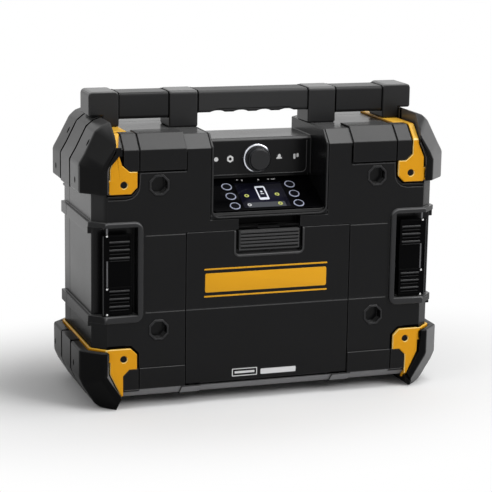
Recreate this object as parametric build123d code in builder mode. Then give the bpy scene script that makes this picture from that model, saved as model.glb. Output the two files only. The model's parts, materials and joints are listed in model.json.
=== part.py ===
"""Jobsite radio with a storage compartment, carry handle and corner bumpers, as an assembly of pieces.

Millimetres. X runs to the right as the front is seen, Y runs back, Z is up.
The origin is on the floor, under the middle of the radio.
"""
import os
from math import atan, cos, hypot, sin

from build123d import *

os.makedirs("parts", exist_ok=True)

# ---------------------------------------------------------------- the case
body_width = 408.0
body_depth = 160.0
body_height = 297.0
body_bottom = 12.0       # the bumpers hold the case this far off the floor
wall = 3.5
corner_bevel = 15.0      # upright corners, and the long top edges at front and rear
base_bevel = 10.0        # long bottom edges at front and rear
long_corner = 26.0       # corners that the bumpers cover
rear_shell_depth = 42.0  # from the seam of the two shells to the rear
fit = 0.3                # gap between separate mouldings
overlap = 1.0            # how far features run into the wall that carries them
reach = 600.0            # longer than the radio, for cuts that run right through it

half_width = body_width / 2
body_top = body_bottom + body_height
front_y = -body_depth / 2
rear_y = body_depth / 2
inner_front = front_y + wall
inner_rear = rear_y - wall
seam_y = rear_y - rear_shell_depth

# ---------------------------------------------------------------- console
console_half = 70.0
console_height = 96.0
console_wall = 3.0
console_floor = 2.0
recess_half = 67.0
recess_lip = 3.5         # from the bottom of the console up to the mouth of its recess
recess_round = 6.0
lip_bevel = 2.5
deck_rise = 0.5          # rise of the sloping display deck for each unit of depth
deck_mid_inset = 26.0    # from the front of the case back to the middle of the deck
deck_drop = 62.6         # from the top of the knob panel down to the middle of the deck
deck_back_inset = 58.0
deck_thickness = 2.5
panel_inset = 50.0
panel_drop = 13.0        # from the top of the case down to the top of the knob panel
panel_height = 44.0
panel_bevel = 3.0

console_bottom = body_top - console_height
recess_bottom = console_bottom + recess_lip
panel_y = front_y + panel_inset
panel_top = body_top - panel_drop
panel_foot = panel_top - panel_height
deck_mid_y = front_y + deck_mid_inset
deck_mid_z = panel_top - deck_drop
deck_back_y = front_y + deck_back_inset

# ---------------------------------------------------------------- door and its latch
door_half = 98.0
door_foot = 10.9         # from the bottom of the case up to the foot of the door
door_height = 176.6
door_plate = 3.5
door_gap = 0.8
door_groove_rise = 88.1  # from the foot of the door up to the groove across it
hinge_inset = 5.0
hinge_rise = 4.1
hinge_barrel = 3.6
hinge_pin = 1.5
hinge_room = 6.0         # radius in which the foot of the door turns
foot_bevel = 1.5
knuckle_x = (84.0, 93.0)
ear_width = 4.0
hinge_foot_x = (80.0, 103.0)
hinge_foot_proud = 2.0
slider_half = 36.0
slider_height = 22.5
slider_travel = 4.5
slider_depth = 6.0
slider_clearance = 0.5
finger_half = 37.0
finger_depth = 14.0
ledge = 2.5
tongue_half = 12.0
tongue_depth = 1.8
tongue_rise = 3.6

door_bottom = body_bottom + door_foot
door_top = door_bottom + door_height
hinge_y = front_y + hinge_inset
hinge_z = door_bottom + hinge_rise
sill_z = body_bottom + base_bevel
slider_top = door_top - 1.0
slider_bottom = slider_top - slider_height
slider_back = front_y + slider_depth
recess_back = slider_back + slider_clearance

# ---------------------------------------------------------------- side pockets and latches
pocket_run = 49.0        # from the side of the case in to the end of the pocket
pocket_rise = 96.8       # from the bottom of the case up to the pocket
pocket_height = 100.7
pocket_depth = 13.0
ridge_width = 6.5
ridge_height = 8.0
ridge_above = 5.5
ridge_proud = 4.0
ridge_run_back = 145.0
ridge_round = 10.0
ridge_side_drop = 8.0    # how much taller the ridges are on the sides, below the pocket's top
ridge_side_foot = 5.0    # and below the ridge under the pocket
panel_line = 1.2         # width and depth of the lines across the front, beside the door
panel_line_end = 59.0    # from the side of the case in to where they end
latch_gap = 6.5          # finger gap between the pocket's end and the latch
latch_width = 33.0
latch_end_gap = 1.2
latch_head_gap = 8.0
latch_plate = 5.0
latch_pivot_inset = 5.5  # from the latch's outer edge in to its pin
latch_pivot_depth = 2.5
latch_pin = 1.2
pin_seat = 2.5           # how far each latch pin runs into the walls above and below

pocket_inner = half_width - pocket_run
pocket_low = body_bottom + pocket_rise
pocket_high = pocket_low + pocket_height
pocket_back = front_y + pocket_depth
ridge_low = pocket_low - ridge_height
ridge_high = pocket_high + ridge_above
ridge_end_y = front_y + ridge_run_back
ridge_x = pocket_inner - ridge_width
side_ridges = ((ridge_low - ridge_side_foot, pocket_low), (pocket_high - ridge_side_drop, ridge_high))
latch_inner = pocket_inner + latch_gap
latch_outer = latch_inner + latch_width
latch_low = pocket_low + latch_end_gap
latch_high = pocket_high - latch_head_gap
latch_pivot_x = latch_outer - latch_pivot_inset
latch_pivot_y = front_y + latch_pivot_depth

# ---------------------------------------------------------------- corners
socket_inset = 74.0      # from the side of the case in to the middle of each socket
socket_low_rise = 78.0
socket_high_drop = 54.0
socket_flats = 18.5
socket_depth = 9.0
rim_width = 2.2
rim_proud = 1.2
bracket_proud = 3.0
bracket_seat = 1.5       # how deep the bracket plates sit in the case
seat_border = 2.4        # width of the groove left round each plate
# the plates' outlines, measured in from the side of the case
plate_inner = 48.5
plate_shelf = 41.0
plate_curve = 39.5
plate_leg = 32.5
plate_leg_outer = 24.0
plate_outer = 17.0
bracket_screw_inset = 33.0
low_screw_rise = 47.0
high_screw_drop = 52.0
bumper_proud = 6.0       # beyond the front and rear of the case
bumper_side = 14.0       # beyond the sides of the case
bumper_head = 15.0       # above the top of the case
bumper_gap = 1.8         # between a bumper and the bracket plate and post beside it
bumper_corner = 21.0     # slant that turns each end of a bumper round to its side
groove_y = 23.0
groove_width = 3.0
groove_depth = 3.0

socket_x = half_width - socket_inset
socket_heights = (body_bottom + socket_low_rise, body_top - socket_high_drop)
bracket_screw_x = half_width - bracket_screw_inset
bracket_screw_heights = (body_bottom + low_screw_rise, body_top - high_screw_drop)

# ---------------------------------------------------------------- handle
handle_y = 1.5
post_depth = 42.0
mid_post_depth = 38.5
mid_post_drop = 1.0      # from the top of the end posts down to the top of the middle ones
bar_depth = 37.0
post_rise = 43.0         # from the top of the case up to the top of the end posts
bar_drop = 2.0           # from the top of the end posts down to the top of the bars
bar_height = 30.0
grip_height = 25.5
end_post_inset = 9.0
end_post_width = 35.0
mid_post_width = 34.0
tube_radius = 6.0
tube_wall = 1.5
tube_drop = 16.0
tube_end_inset = 8.0

post_top = body_top + post_rise
bar_top = post_top - bar_drop
bar_bottom = bar_top - bar_height
grip_bottom = bar_top - grip_height
end_post_x = (half_width - end_post_inset - end_post_width, half_width - end_post_inset)
mid_post_x = (recess_half, recess_half + mid_post_width)
tube_z = post_top - tube_drop

# ---------------------------------------------------------------- knob and keys
knob_drop = 23.7         # from the top of the knob panel down to the knob's middle
knob_radius = 12.6
skirt_radius = 14.2
knob_proud = 15.0
ring_radius = 17.0
ring_proud = 4.0
bush_radius = 4.5
shaft_radius = 3.0
shaft_fit = 0.05
key_x = 38.3
key_pitch = 18.0
key_radius = 4.85
key_ring_outer = 6.1
key_ring_inner = 5.1
key_ring_proud = 0.5
key_proud = 0.8
key_travel = 0.7
key_stem_radius = 2.0
window_width = 56.0
window_height = 45.0
window_thickness = 1.5
window_rise = 0.5        # the window's middle above the deck's middle, along the slope
board_drop = 8.0         # from the deck's face down to the key board

knob_z = panel_top - knob_drop
knob_front = panel_y - knob_proud

# ---------------------------------------------------------------- rear and inside
speaker_inset = 64.0     # from the side of the case in to each speaker's middle
speaker_rise = 168.0
speaker_hole = 37.0
boss_radius = 5.0
boss_length = 10.0
rib = 3.0                # thickness of the ribs that tie bosses to the walls
screw_radius = 1.75
board_inset = 30.0       # from the rear of the case forward to the main board
board_thickness = 1.6
liner_half = 95.0
liner_rise = 22.0        # from the bottom of the case up to the compartment's liner
liner_head = 2.5         # from the top of the liner up to the top of the door
liner_depth = 106.0
liner_wall = 2.5
side_screw_inset = 19.0
side_screw_above = 52.0  # above and below the speakers' middle
side_screw_below = 85.0
inner_screw_inset = 92.0
end_screw_inset = 12.5
screw_start = 18.0       # depth at which the case screws end
screw_head_depth = 5.0   # under the rear face

screw_hole = screw_radius + shaft_fit
speaker_x = half_width - speaker_inset
speaker_z = body_bottom + speaker_rise
board_y = rear_y - board_inset
liner_low = body_bottom + liner_rise
liner_high = door_top - liner_head
liner_back = front_y + liner_depth
# the long case screws: two near the sides, one near the top and one near the bottom
side_screw_x = half_width - side_screw_inset
inner_screw_x = half_width - inner_screw_inset
screw_places = (
    (side_screw_x, speaker_z + side_screw_above), (side_screw_x, speaker_z - side_screw_below),
    (inner_screw_x, body_top - end_screw_inset), (inner_screw_x, body_bottom + end_screw_inset))

# the display deck: its own plane, with its Y axis running up the slope
deck_angle = atan(deck_rise)
deck_normal = (0, -sin(deck_angle), cos(deck_angle))
deck = Plane(origin=(0, deck_mid_y, deck_mid_z), x_dir=(1, 0, 0), z_dir=deck_normal)
deck_front_y = front_y + lip_bevel
deck_low = (deck_front_y - deck_mid_y) / cos(deck_angle)
deck_high = (deck_back_y - deck_mid_y) / cos(deck_angle) - deck_thickness * deck_rise
deck_middle = (deck_low + deck_high) / 2
deck_length = deck_high - deck_low


def deck_height(y, below=0.0):
    """Height of the deck at depth y, or of a face lying parallel to it and below it."""
    return deck_mid_z + (y - deck_mid_y) * deck_rise - below / cos(deck_angle)


def facing_front(y):
    """Upright plane at depth y that looks to the front; an extrusion comes forward from it."""
    return Plane(origin=(0, y, 0), x_dir=(1, 0, 0), z_dir=(0, -1, 0))


def on_side(side, near, far):
    """Limits along X, lowest first, of something on the right (side 1) or the left (side -1)."""
    return sorted((side * near, side * far))


def brick(x, y, z, mode=Mode.ADD):
    """Plain block between pairs of limits, in the part being built."""
    with Locations(((x[0] + x[1]) / 2, (y[0] + y[1]) / 2, (z[0] + z[1]) / 2)):
        Box(x[1] - x[0], y[1] - y[0], z[1] - z[0], mode=mode)


def rod(centre, radius, y, mode=Mode.ADD):
    """Round bar along Y between two depths, at an (x, z) centre."""
    with Locations((centre[0], (y[0] + y[1]) / 2, centre[1])):
        Cylinder(radius, y[1] - y[0], rotation=(90, 0, 0), mode=mode)


def cross_rod(centre, radius, x, mode=Mode.ADD):
    """Round bar along X between two places, at a (y, z) centre."""
    with Locations(((x[0] + x[1]) / 2, centre[0], centre[1])):
        Cylinder(radius, x[1] - x[0], rotation=(0, 90, 0), mode=mode)


def body_block(grow=0.0):
    """Outline of the whole case, grown outwards or, if negative, shrunk."""
    with BuildPart() as block:
        with BuildSketch(Plane.XY) as plan:
            Rectangle(body_width, body_depth)
            chamfer(plan.vertices(), corner_bevel)
            if grow:
                offset(amount=grow, kind=Kind.INTERSECTION)
        extrude(amount=reach)
        with BuildSketch(Plane.YZ):
            with BuildLine():
                Polyline(
                    (rear_y - base_bevel, body_bottom), (rear_y, body_bottom + base_bevel),
                    (rear_y, body_top - corner_bevel), (rear_y - corner_bevel, body_top),
                    (front_y + corner_bevel, body_top), (front_y, body_top - corner_bevel),
                    (front_y, body_bottom + base_bevel), (front_y + base_bevel, body_bottom), close=True)
            make_face()
            if grow:
                offset(amount=grow, kind=Kind.INTERSECTION)
        extrude(amount=reach, both=True, mode=Mode.INTERSECT)
        with BuildSketch(facing_front(0)) as front_view:
            with Locations((0, (body_bottom + body_top) / 2)):
                Rectangle(body_width, body_top - body_bottom)
            chamfer(front_view.vertices(), long_corner)
            if grow:
                offset(amount=grow, kind=Kind.INTERSECTION)
        extrude(amount=reach, both=True, mode=Mode.INTERSECT)
    return block.part


def case_region(x, y, z, grow=0.0):
    """The part of the case's outline that lies between the given limits."""
    with BuildPart() as region:
        add(body_block(grow))
        brick(x, y, z, mode=Mode.INTERSECT)
    return region.part


def case_skin(thickness, x, y, z):
    """A sheet of the given thickness lying on the outside of the case, between the limits."""
    with BuildPart() as skin:
        add(body_block(thickness))
        add(body_block(), mode=Mode.SUBTRACT)
        brick(x, y, z, mode=Mode.INTERSECT)
    return skin.part


def hand_notch(grow=0.0):
    """Space for the hand behind the console: a chute that widens and falls to the rear."""
    spread = rear_y + reach - seam_y
    side = recess_half + grow
    floor = panel_top - grow
    with BuildPart() as chute:
        with BuildSketch(Plane.YZ.offset(-reach)):
            with BuildLine():
                Polyline(
                    (seam_y - reach, floor), (seam_y - panel_bevel, floor),
                    (seam_y + spread, floor - spread - panel_bevel),
                    (seam_y + spread, reach), (seam_y - reach, reach), close=True)
            make_face()
        extrude(amount=2 * reach)
        with BuildSketch(Plane.XY):
            with BuildLine():
                Polyline(
                    (side, seam_y), (side + spread, seam_y + spread),
                    (-side - spread, seam_y + spread), (-side, seam_y), close=True)
            make_face()
        extrude(amount=reach, mode=Mode.INTERSECT)
    return chute.part


def at_corner(upper, places):
    """Points given by their distances in from the side and from the top, or bottom, of the case."""
    return [(half_width - inset, body_top - rise if upper else body_bottom + rise) for inset, rise in places]


upper_plate = at_corner(True, [
    (plate_inner, 37.5), (plate_inner, 55.0), (plate_shelf, 62.5), (plate_outer, 62.5),
    (plate_outer, 34.0), (plate_leg_outer, 18.0), (plate_leg_outer, 14.5), (plate_leg, 14.5),
    (plate_leg, 30.5), (plate_curve, 37.5)])
lower_plate = at_corner(False, [
    (plate_inner, 34.5), (plate_inner, 51.5), (plate_shelf, 59.0), (plate_outer, 59.0), (plate_outer, 31.0),
    (30.0, 4.0), (plate_leg, 4.0), (plate_leg, 27.5), (plate_curve, 34.5)])


def bracket_plate(upper, grow=0.0):
    """Front outline of a corner bracket, as a face on the right of the radio."""
    with BuildSketch() as plate:
        Polygon(*(upper_plate if upper else lower_plate), align=None)
        if grow:
            offset(amount=grow, kind=Kind.INTERSECTION)
    return plate.sketch


def bracket_seats(grow=0.0):
    """Shallow seats for all the bracket plates, at the front and the rear of the case."""
    with BuildPart() as seats:
        for upper in (True, False):
            plate = bracket_plate(upper, grow)
            for face in (plate, mirror(plate, about=Plane.YZ)):
                with BuildSketch(facing_front(front_y + bracket_seat)):
                    add(face)
                extrude(amount=bracket_seat + bracket_proud)
        mirror(about=Plane.XZ)
    return seats.part


def octagon(flats):
    """Octagon with level top and bottom edges, in the sketch being drawn."""
    RegularPolygon(flats / 2, 8, major_radius=False, rotation=22.5)


def screw_boss(x, z, y):
    """Boss round a long case screw, with a rib to the nearest wall of the case."""
    for side in (-1, 1):
        rod((side * x, z), boss_radius, y)
        if x > speaker_x:
            brick(on_side(side, x, half_width - overlap), y, (z - rib / 2, z + rib / 2))
        else:
            edge = body_top - overlap if z > speaker_z else body_bottom + overlap
            brick(on_side(side, x - rib / 2, x + rib / 2), y, sorted((z, edge)))



# ================================================================ front housing
socket_places = [(side * socket_x, height) for side in (-1, 1) for height in socket_heights]
bracket_screw_places = [(side * bracket_screw_x, height) for side in (-1, 1)
                        for height in bracket_screw_heights]
boss_start = -2.0        # depth at which the front bosses for the case screws begin
ear_back = 9.0

with BuildPart() as front_housing:
    add(body_block())
    add(body_block(-wall), mode=Mode.SUBTRACT)
    brick((-reach, reach), (-reach, seam_y), (0, reach), mode=Mode.INTERSECT)
    # walls behind the side pockets, and the ridge round each of them
    for side in (-1, 1):
        ends = on_side(side, pocket_inner - wall, half_width)
        add(case_region(ends, (front_y, pocket_back + wall), (pocket_low - wall, pocket_high + wall)))
        ends = on_side(side, pocket_inner - ridge_width, reach)
        for low, high in ((ridge_low, pocket_low), (pocket_high, ridge_high)):
            add(case_skin(ridge_proud, ends, (-reach, seam_y), (low, high)))
        ends = on_side(side, pocket_inner - ridge_width, pocket_inner)
        brick(ends, (front_y - ridge_proud, front_y), (ridge_low, ridge_high))
        ends = on_side(side, half_width - overlap, reach)
        for low, high in side_ridges:
            add(case_skin(ridge_proud, ends, (front_y + corner_bevel, seam_y), (low, high)))
    for side in (-1, 1):
        ends = on_side(side, pocket_inner, reach)
        brick(ends, (-reach, pocket_back), (pocket_low, pocket_high), mode=Mode.SUBTRACT)
    # the ridges turn their corners in an arc
    with BuildSketch(facing_front(front_y)):
        for side in (-1, 1):
            for end, way in ((ridge_high, -1), (ridge_low, 1)):
                with Locations((side * (ridge_x + ridge_round / 2), end + way * ridge_round / 2)):
                    Rectangle(ridge_round, ridge_round)
                with Locations((side * (ridge_x + ridge_round), end + way * ridge_round)):
                    Circle(ridge_round, mode=Mode.SUBTRACT)
    extrude(amount=ridge_proud + overlap, mode=Mode.SUBTRACT)
    # lines across the panels beside the door
    for side in (-1, 1):
        for height in (door_top - panel_line / 2, door_bottom + door_groove_rise):
            brick(on_side(side, door_half, half_width - panel_line_end), (-reach, front_y + panel_line),
                  (height - panel_line / 2, height + panel_line / 2), mode=Mode.SUBTRACT)
    # stacking sockets with their raised rims
    with BuildSketch(facing_front(front_y + socket_depth + wall)):
        with Locations(socket_places):
            octagon(socket_flats + 2 * wall)
    extrude(amount=socket_depth + wall - overlap / 2)
    with BuildSketch(facing_front(front_y)):
        with Locations(socket_places):
            octagon(socket_flats + 2 * rim_width)
    extrude(amount=rim_proud)
    with BuildSketch(facing_front(front_y + socket_depth)):
        with Locations(socket_places):
            octagon(socket_flats)
    extrude(amount=socket_depth + wall, mode=Mode.SUBTRACT)
    # finger recess over the door, roofed by the console, with the slotted ledge that the latch tongue enters
    brick((-finger_half - wall, finger_half + wall), (inner_front, front_y + finger_depth + wall),
          (door_top + door_gap, console_bottom))
    brick((-finger_half, finger_half), (-reach, front_y + finger_depth),
          (door_top + door_gap + ledge, console_bottom), mode=Mode.SUBTRACT)
    brick((-finger_half, finger_half), (-reach, inner_front), (door_top, console_bottom), mode=Mode.SUBTRACT)
    brick((-tongue_half - overlap, tongue_half + overlap),
          (slider_back - tongue_depth - slider_clearance, slider_back + overlap),
          (door_top, door_top + door_gap + ledge + overlap), mode=Mode.SUBTRACT)
    # door opening, rounded below so that the door's foot can turn, over a sill that clears the open door
    opening = (-door_half - door_gap, door_half + door_gap)
    brick(opening, (-reach, hinge_y), (sill_z - fit, door_top + door_gap), mode=Mode.SUBTRACT)
    cross_rod((hinge_y, hinge_z), hinge_room, opening, mode=Mode.SUBTRACT)
    # hinge ears each side of the door's knuckles, and the feet under them
    for side in (-1, 1):
        for near in (knuckle_x[0] - fit - ear_width, knuckle_x[1] + fit):
            ends = on_side(side, near, near + ear_width)
            cross_rod((hinge_y, hinge_z), hinge_barrel, ends)
            brick(ends, (hinge_y, hinge_y + ear_back), (hinge_z - hinge_barrel / 4, hinge_z + hinge_barrel))
            brick(ends, (hinge_y + ear_back - ear_width, hinge_y + ear_back), (body_bottom, hinge_z))
            cross_rod((hinge_y, hinge_z), hinge_pin + shaft_fit, ends, mode=Mode.SUBTRACT)
        ends = on_side(side, hinge_foot_x[0], hinge_foot_x[1])
        add(case_skin(hinge_foot_proud, ends, (-reach, front_y + 2 * base_bevel), (0, sill_z)))
    # opening for the console
    brick((-console_half - fit, console_half + fit), (-reach, reach), (console_bottom - fit, reach),
          mode=Mode.SUBTRACT)
    # seats for the corner brackets, with a boss behind each screw
    for place in bracket_screw_places:
        rod(place, boss_radius, (inner_front - overlap / 2, inner_front + boss_length))
    add(bracket_seats(seat_border), mode=Mode.SUBTRACT)
    for place in bracket_screw_places:
        rod(place, screw_hole, (front_y, inner_front + boss_length - overlap), mode=Mode.SUBTRACT)
    # bosses that take the long case screws
    for x, z in screw_places:
        screw_boss(x, z, (boss_start, seam_y))
        for side in (-1, 1):
            rod((side * x, z), screw_hole, (0, seam_y + overlap), mode=Mode.SUBTRACT)
    # bores for the latch pins
    with BuildSketch(Plane.XY.offset(pocket_low - pin_seat)):
        with Locations((latch_pivot_x, latch_pivot_y), (-latch_pivot_x, latch_pivot_y)):
            Circle(latch_pin + shaft_fit)
    extrude(amount=pocket_height + 2 * pin_seat, mode=Mode.SUBTRACT)
front_housing.part.label = "front_housing"
export_step(front_housing.part, "parts/front_housing.step")

# ================================================================ rear housing
inlet_x = 60.0
inlet_rise = 40.0
inlet_half_width = 15.0
inlet_half_height = 11.0
head_radius = 3.3
head_room = 3.7
head_sink = 8.0          # depth of the recess for each case screw's head
standoff_radius = 4.0
board_half = 88.0
board_foot = 50.0        # above the bottom of the case
board_head = 190.0
standoff_inset = 13.0

inlet_z = body_bottom + inlet_rise
board_low = body_bottom + board_foot
board_high = body_bottom + board_head
standoffs = [(side * (board_half - standoff_inset), height) for side in (-1, 1)
             for height in (board_low + standoff_inset, board_high - standoff_inset)]

with BuildPart() as notch_walls:
    add(hand_notch(wall))
    add(case_region((-reach, reach), (seam_y, reach), (0, reach)), mode=Mode.INTERSECT)

with BuildPart() as rear_housing:
    add(body_block())
    add(body_block(-wall), mode=Mode.SUBTRACT)
    brick((-reach, reach), (seam_y, reach), (0, reach), mode=Mode.INTERSECT)
    # the hand notch has walls of its own
    add(notch_walls.part)
    add(hand_notch(), mode=Mode.SUBTRACT)
    # side ridges carry on from the front housing
    for side in (-1, 1):
        ends = on_side(side, half_width - overlap, reach)
        for low, high in side_ridges:
            add(case_skin(ridge_proud, ends, (seam_y, ridge_end_y), (low, high)))
    # speaker openings and power inlet opening
    for side in (-1, 1):
        rod((side * speaker_x, speaker_z), speaker_hole, (inner_rear - overlap, rear_y + overlap),
            mode=Mode.SUBTRACT)
    brick((inlet_x - inlet_half_width, inlet_x + inlet_half_width), (inner_rear - overlap, reach),
          (inlet_z - inlet_half_height, inlet_z + inlet_half_height), mode=Mode.SUBTRACT)
    # tubes for the case screws and standoffs for the main board
    for x, z in screw_places:
        screw_boss(x, z, (seam_y, inner_rear + overlap / 2))
        for side in (-1, 1):
            rod((side * x, z), screw_hole, (seam_y - overlap, rear_y + overlap), mode=Mode.SUBTRACT)
            rod((side * x, z), head_room, (rear_y - head_sink, rear_y + overlap), mode=Mode.SUBTRACT)
    for place in standoffs:
        rod(place, standoff_radius, (board_y + board_thickness, inner_rear + overlap / 2))
    # seats for the rear plates of the corner brackets, with a boss behind each screw
    for place in bracket_screw_places:
        rod(place, boss_radius, (inner_rear - boss_length, inner_rear + overlap / 2))
    add(bracket_seats(seat_border), mode=Mode.SUBTRACT)
    for place in bracket_screw_places:
        rod(place, screw_hole, (inner_rear - boss_length + overlap, rear_y), mode=Mode.SUBTRACT)
rear_housing.part.label = "rear_housing"
export_step(rear_housing.part, "parts/rear_housing.step")

with BuildPart() as case_screws:
    for side in (-1, 1):
        for x, z in screw_places:
            rod((side * x, z), screw_radius, (screw_start, rear_y - head_sink + overlap))
            rod((side * x, z), head_radius, (rear_y - head_sink, rear_y - screw_head_depth))
case_screws.part.label = "case_screws"
export_step(case_screws.part, "parts/case_screws.step")

# ================================================================ console moulding
console_front_wall = 5.0
opening_border = 9.0
bush_room = 4.6
hollow_half = console_half - wall
hollow_front = front_y + console_front_wall
hollow_top = panel_top - console_wall
finger_roof_back = front_y + finger_depth + wall + overlap / 2
roof_top = console_bottom + console_floor

# everything in front of and above the console's skin
with BuildPart() as recess:
    clear = 10.0
    with BuildSketch(Plane.YZ.offset(-recess_half)):
        with BuildLine():
            Polyline(
                (front_y - clear, recess_bottom), (front_y, recess_bottom),
                (deck_front_y, deck_height(deck_front_y, deck_thickness)),
                (deck_back_y, deck_height(deck_back_y, deck_thickness)), (deck_back_y, panel_foot),
                (panel_y, panel_foot), (panel_y, panel_top - panel_bevel),
                (panel_y + panel_bevel, panel_top), (seam_y - panel_bevel, panel_top),
                (seam_y + clear, panel_top - panel_bevel - clear), (seam_y + clear, body_top + clear),
                (front_y - clear, body_top + clear), close=True)
        make_face()
    extrude(amount=2 * recess_half)
    with BuildSketch(facing_front(0)) as mouth:
        with Locations((0, recess_bottom + reach / 2)):
            Rectangle(2 * recess_half, reach)
        fillet(mouth.vertices().group_by(Axis.Z)[0], recess_round)
    extrude(amount=reach, both=True, mode=Mode.INTERSECT)

with BuildPart() as console_housing:
    add(case_region((-console_half, console_half), (front_y, seam_y), (console_bottom, body_top)))
    add(recess.part, mode=Mode.SUBTRACT)
    # the hollow behind the skin, open at the rear, and at the bottom behind the finger recess
    inner_y = deck_back_y + console_wall
    with BuildSketch(Plane.YZ.offset(-hollow_half)):
        with BuildLine():
            Polyline(
                (finger_roof_back, console_bottom - overlap), (finger_roof_back, roof_top),
                (hollow_front, roof_top),
                (hollow_front, deck_height(hollow_front, deck_thickness + console_wall)),
                (inner_y, deck_height(inner_y, deck_thickness + console_wall)),
                (inner_y, panel_foot + console_wall), (panel_y + console_wall, panel_foot + console_wall),
                (panel_y + console_wall, hollow_top), (seam_y - panel_bevel - overlap, hollow_top),
                (seam_y + overlap, hollow_top - panel_bevel - overlap),
                (seam_y + overlap, console_bottom - overlap), close=True)
        make_face()
    extrude(amount=2 * hollow_half, mode=Mode.SUBTRACT)
    # opening under the display deck, and the hole for the control's bush
    with BuildSketch(deck.offset(-deck_thickness)):
        with Locations((0, deck_middle)):
            Rectangle(2 * (recess_half - opening_border), deck_length - opening_border / 2)
    extrude(amount=2 * console_wall, both=True, mode=Mode.SUBTRACT)
    rod((0, knob_z), bush_room, (panel_y - overlap, panel_y + console_wall + overlap), mode=Mode.SUBTRACT)
console_housing.part.label = "console_housing"
export_step(console_housing.part, "parts/console_housing.step")

# ================================================================ display deck
deck_corner = 4.0
deck_post_radius = 2.5
deck_post_x = 51.0
deck_post_inset = 8.0
key_board_half = 55.0
key_board_inset = 5.0
module_border = 1.0
stem_gap = 0.1
deck_skin = deck_thickness - fit / 2
key_places = [(side * key_x, step * key_pitch) for side in (-1, 1) for step in (1, 0, -1)]
post_places = [(side * deck_post_x, y) for side in (-1, 1)
               for y in (deck_low + deck_post_inset, deck_high - deck_post_inset)]

with BuildPart() as display_panel:
    with BuildSketch(deck) as deck_outline:
        with Locations((0, deck_middle)):
            Rectangle(2 * (recess_half - fit), deck_length - 2 * fit)
        fillet(deck_outline.vertices().group_by(Axis.Y)[0], deck_corner)
        with Locations((0, window_rise)):
            Rectangle(window_width + 2 * fit, window_height + 2 * fit, mode=Mode.SUBTRACT)
    extrude(amount=-deck_skin)
    with BuildSketch(deck):
        with Locations(key_places):
            Circle(key_ring_inner)
    extrude(amount=-deck_thickness, mode=Mode.SUBTRACT)
    with BuildSketch(deck):
        with Locations(key_places):
            Circle(key_ring_outer + fit / 2)
    extrude(amount=-deck_thickness / 2, mode=Mode.SUBTRACT)
    with BuildSketch(deck.offset(-board_drop)):
        with Locations(post_places):
            Circle(deck_post_radius)
    extrude(amount=board_drop - overlap)
display_panel.part.label = "display_panel"
export_step(display_panel.part, "parts/display_panel.step")

with BuildPart() as display_window:
    with BuildSketch(deck):
        with Locations((0, window_rise)):
            Rectangle(window_width, window_height)
    extrude(amount=-window_thickness)
display_window.part.label = "display_window"
export_step(display_window.part, "parts/display_window.step")

with BuildPart() as display_module:
    with BuildSketch(deck.offset(-board_drop)):
        with Locations((0, window_rise)):
            Rectangle(window_width - 2 * module_border, window_height - 2 * module_border)
    extrude(amount=board_drop - window_thickness)
display_module.part.label = "display_module"
export_step(display_module.part, "parts/display_module.step")

with BuildPart() as key_board:
    with BuildSketch(deck.offset(-board_drop)):
        with Locations((0, deck_middle)):
            Rectangle(2 * key_board_half, deck_length - 2 * key_board_inset)
    extrude(amount=-board_thickness)
key_board.part.label = "key_board"
export_step(key_board.part, "parts/key_board.step")

with BuildPart() as key_rings:
    with BuildSketch(deck.offset(-deck_thickness / 2)):
        with Locations(key_places):
            Circle(key_ring_outer)
            Circle(key_ring_inner, mode=Mode.SUBTRACT)
    extrude(amount=deck_thickness / 2 + key_ring_proud)
key_rings.part.label = "key_rings"
export_step(key_rings.part, "parts/key_rings.step")

for number, place in enumerate(key_places, start=1):
    with BuildPart() as display_key:
        with BuildSketch(deck.offset(key_proud)):
            with Locations(place):
                Circle(key_radius)
        extrude(amount=-key_proud - deck_thickness)
        with BuildSketch(deck.offset(-deck_thickness)):
            with Locations(place):
                Circle(key_stem_radius)
        extrude(amount=-(board_drop - deck_thickness - key_travel - stem_gap))
    display_key.part.label = f"display_key_{number}"
    export_step(display_key.part, f"parts/display_key_{number}.step")

# ================================================================ control knob
ring_gap = 0.4
ring_bevel = 0.8
body_half = 7.0          # of the rotary control behind the panel
body_length = 9.0
bush_proud = 1.2
shaft_depth = 4.8
cap_wall = 3.0
cap_face = 4.0
cap_bevel = 1.2
skirt_height = 5.2
skirt_gap = 1.8
hub_wall = 2.0

with BuildPart() as knob_ring:
    rod((0, knob_z), ring_radius, (panel_y - ring_proud, panel_y))
    rod((0, knob_z), skirt_radius + ring_gap, (panel_y - ring_proud - overlap, panel_y + overlap),
        mode=Mode.SUBTRACT)
    rims = knob_ring.edges().filter_by(GeomType.CIRCLE).group_by(Axis.Y)[0]
    chamfer(rims.sort_by(SortBy.RADIUS)[-1], ring_bevel)
knob_ring.part.label = "knob_ring"
export_step(knob_ring.part, "parts/knob_ring.step")

control_face = panel_y + console_wall
shaft_hole = shaft_radius + shaft_fit
with BuildPart() as control_body:
    brick((-body_half, body_half), (control_face, control_face + body_length),
          (knob_z - body_half, knob_z + body_half))
    rod((0, knob_z), bush_radius, (panel_y - bush_proud, control_face + overlap))
    rod((0, knob_z), shaft_hole, (panel_y - cap_wall, control_face + shaft_depth + ring_gap / 2),
        mode=Mode.SUBTRACT)
control_body.part.label = "control_body"
export_step(control_body.part, "parts/control_body.step")

with BuildPart() as control_shaft:
    rod((0, knob_z), shaft_radius, (knob_front + cap_face, control_face + shaft_depth))
control_shaft.part.label = "control_shaft"
export_step(control_shaft.part, "parts/control_shaft.step")

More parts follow.
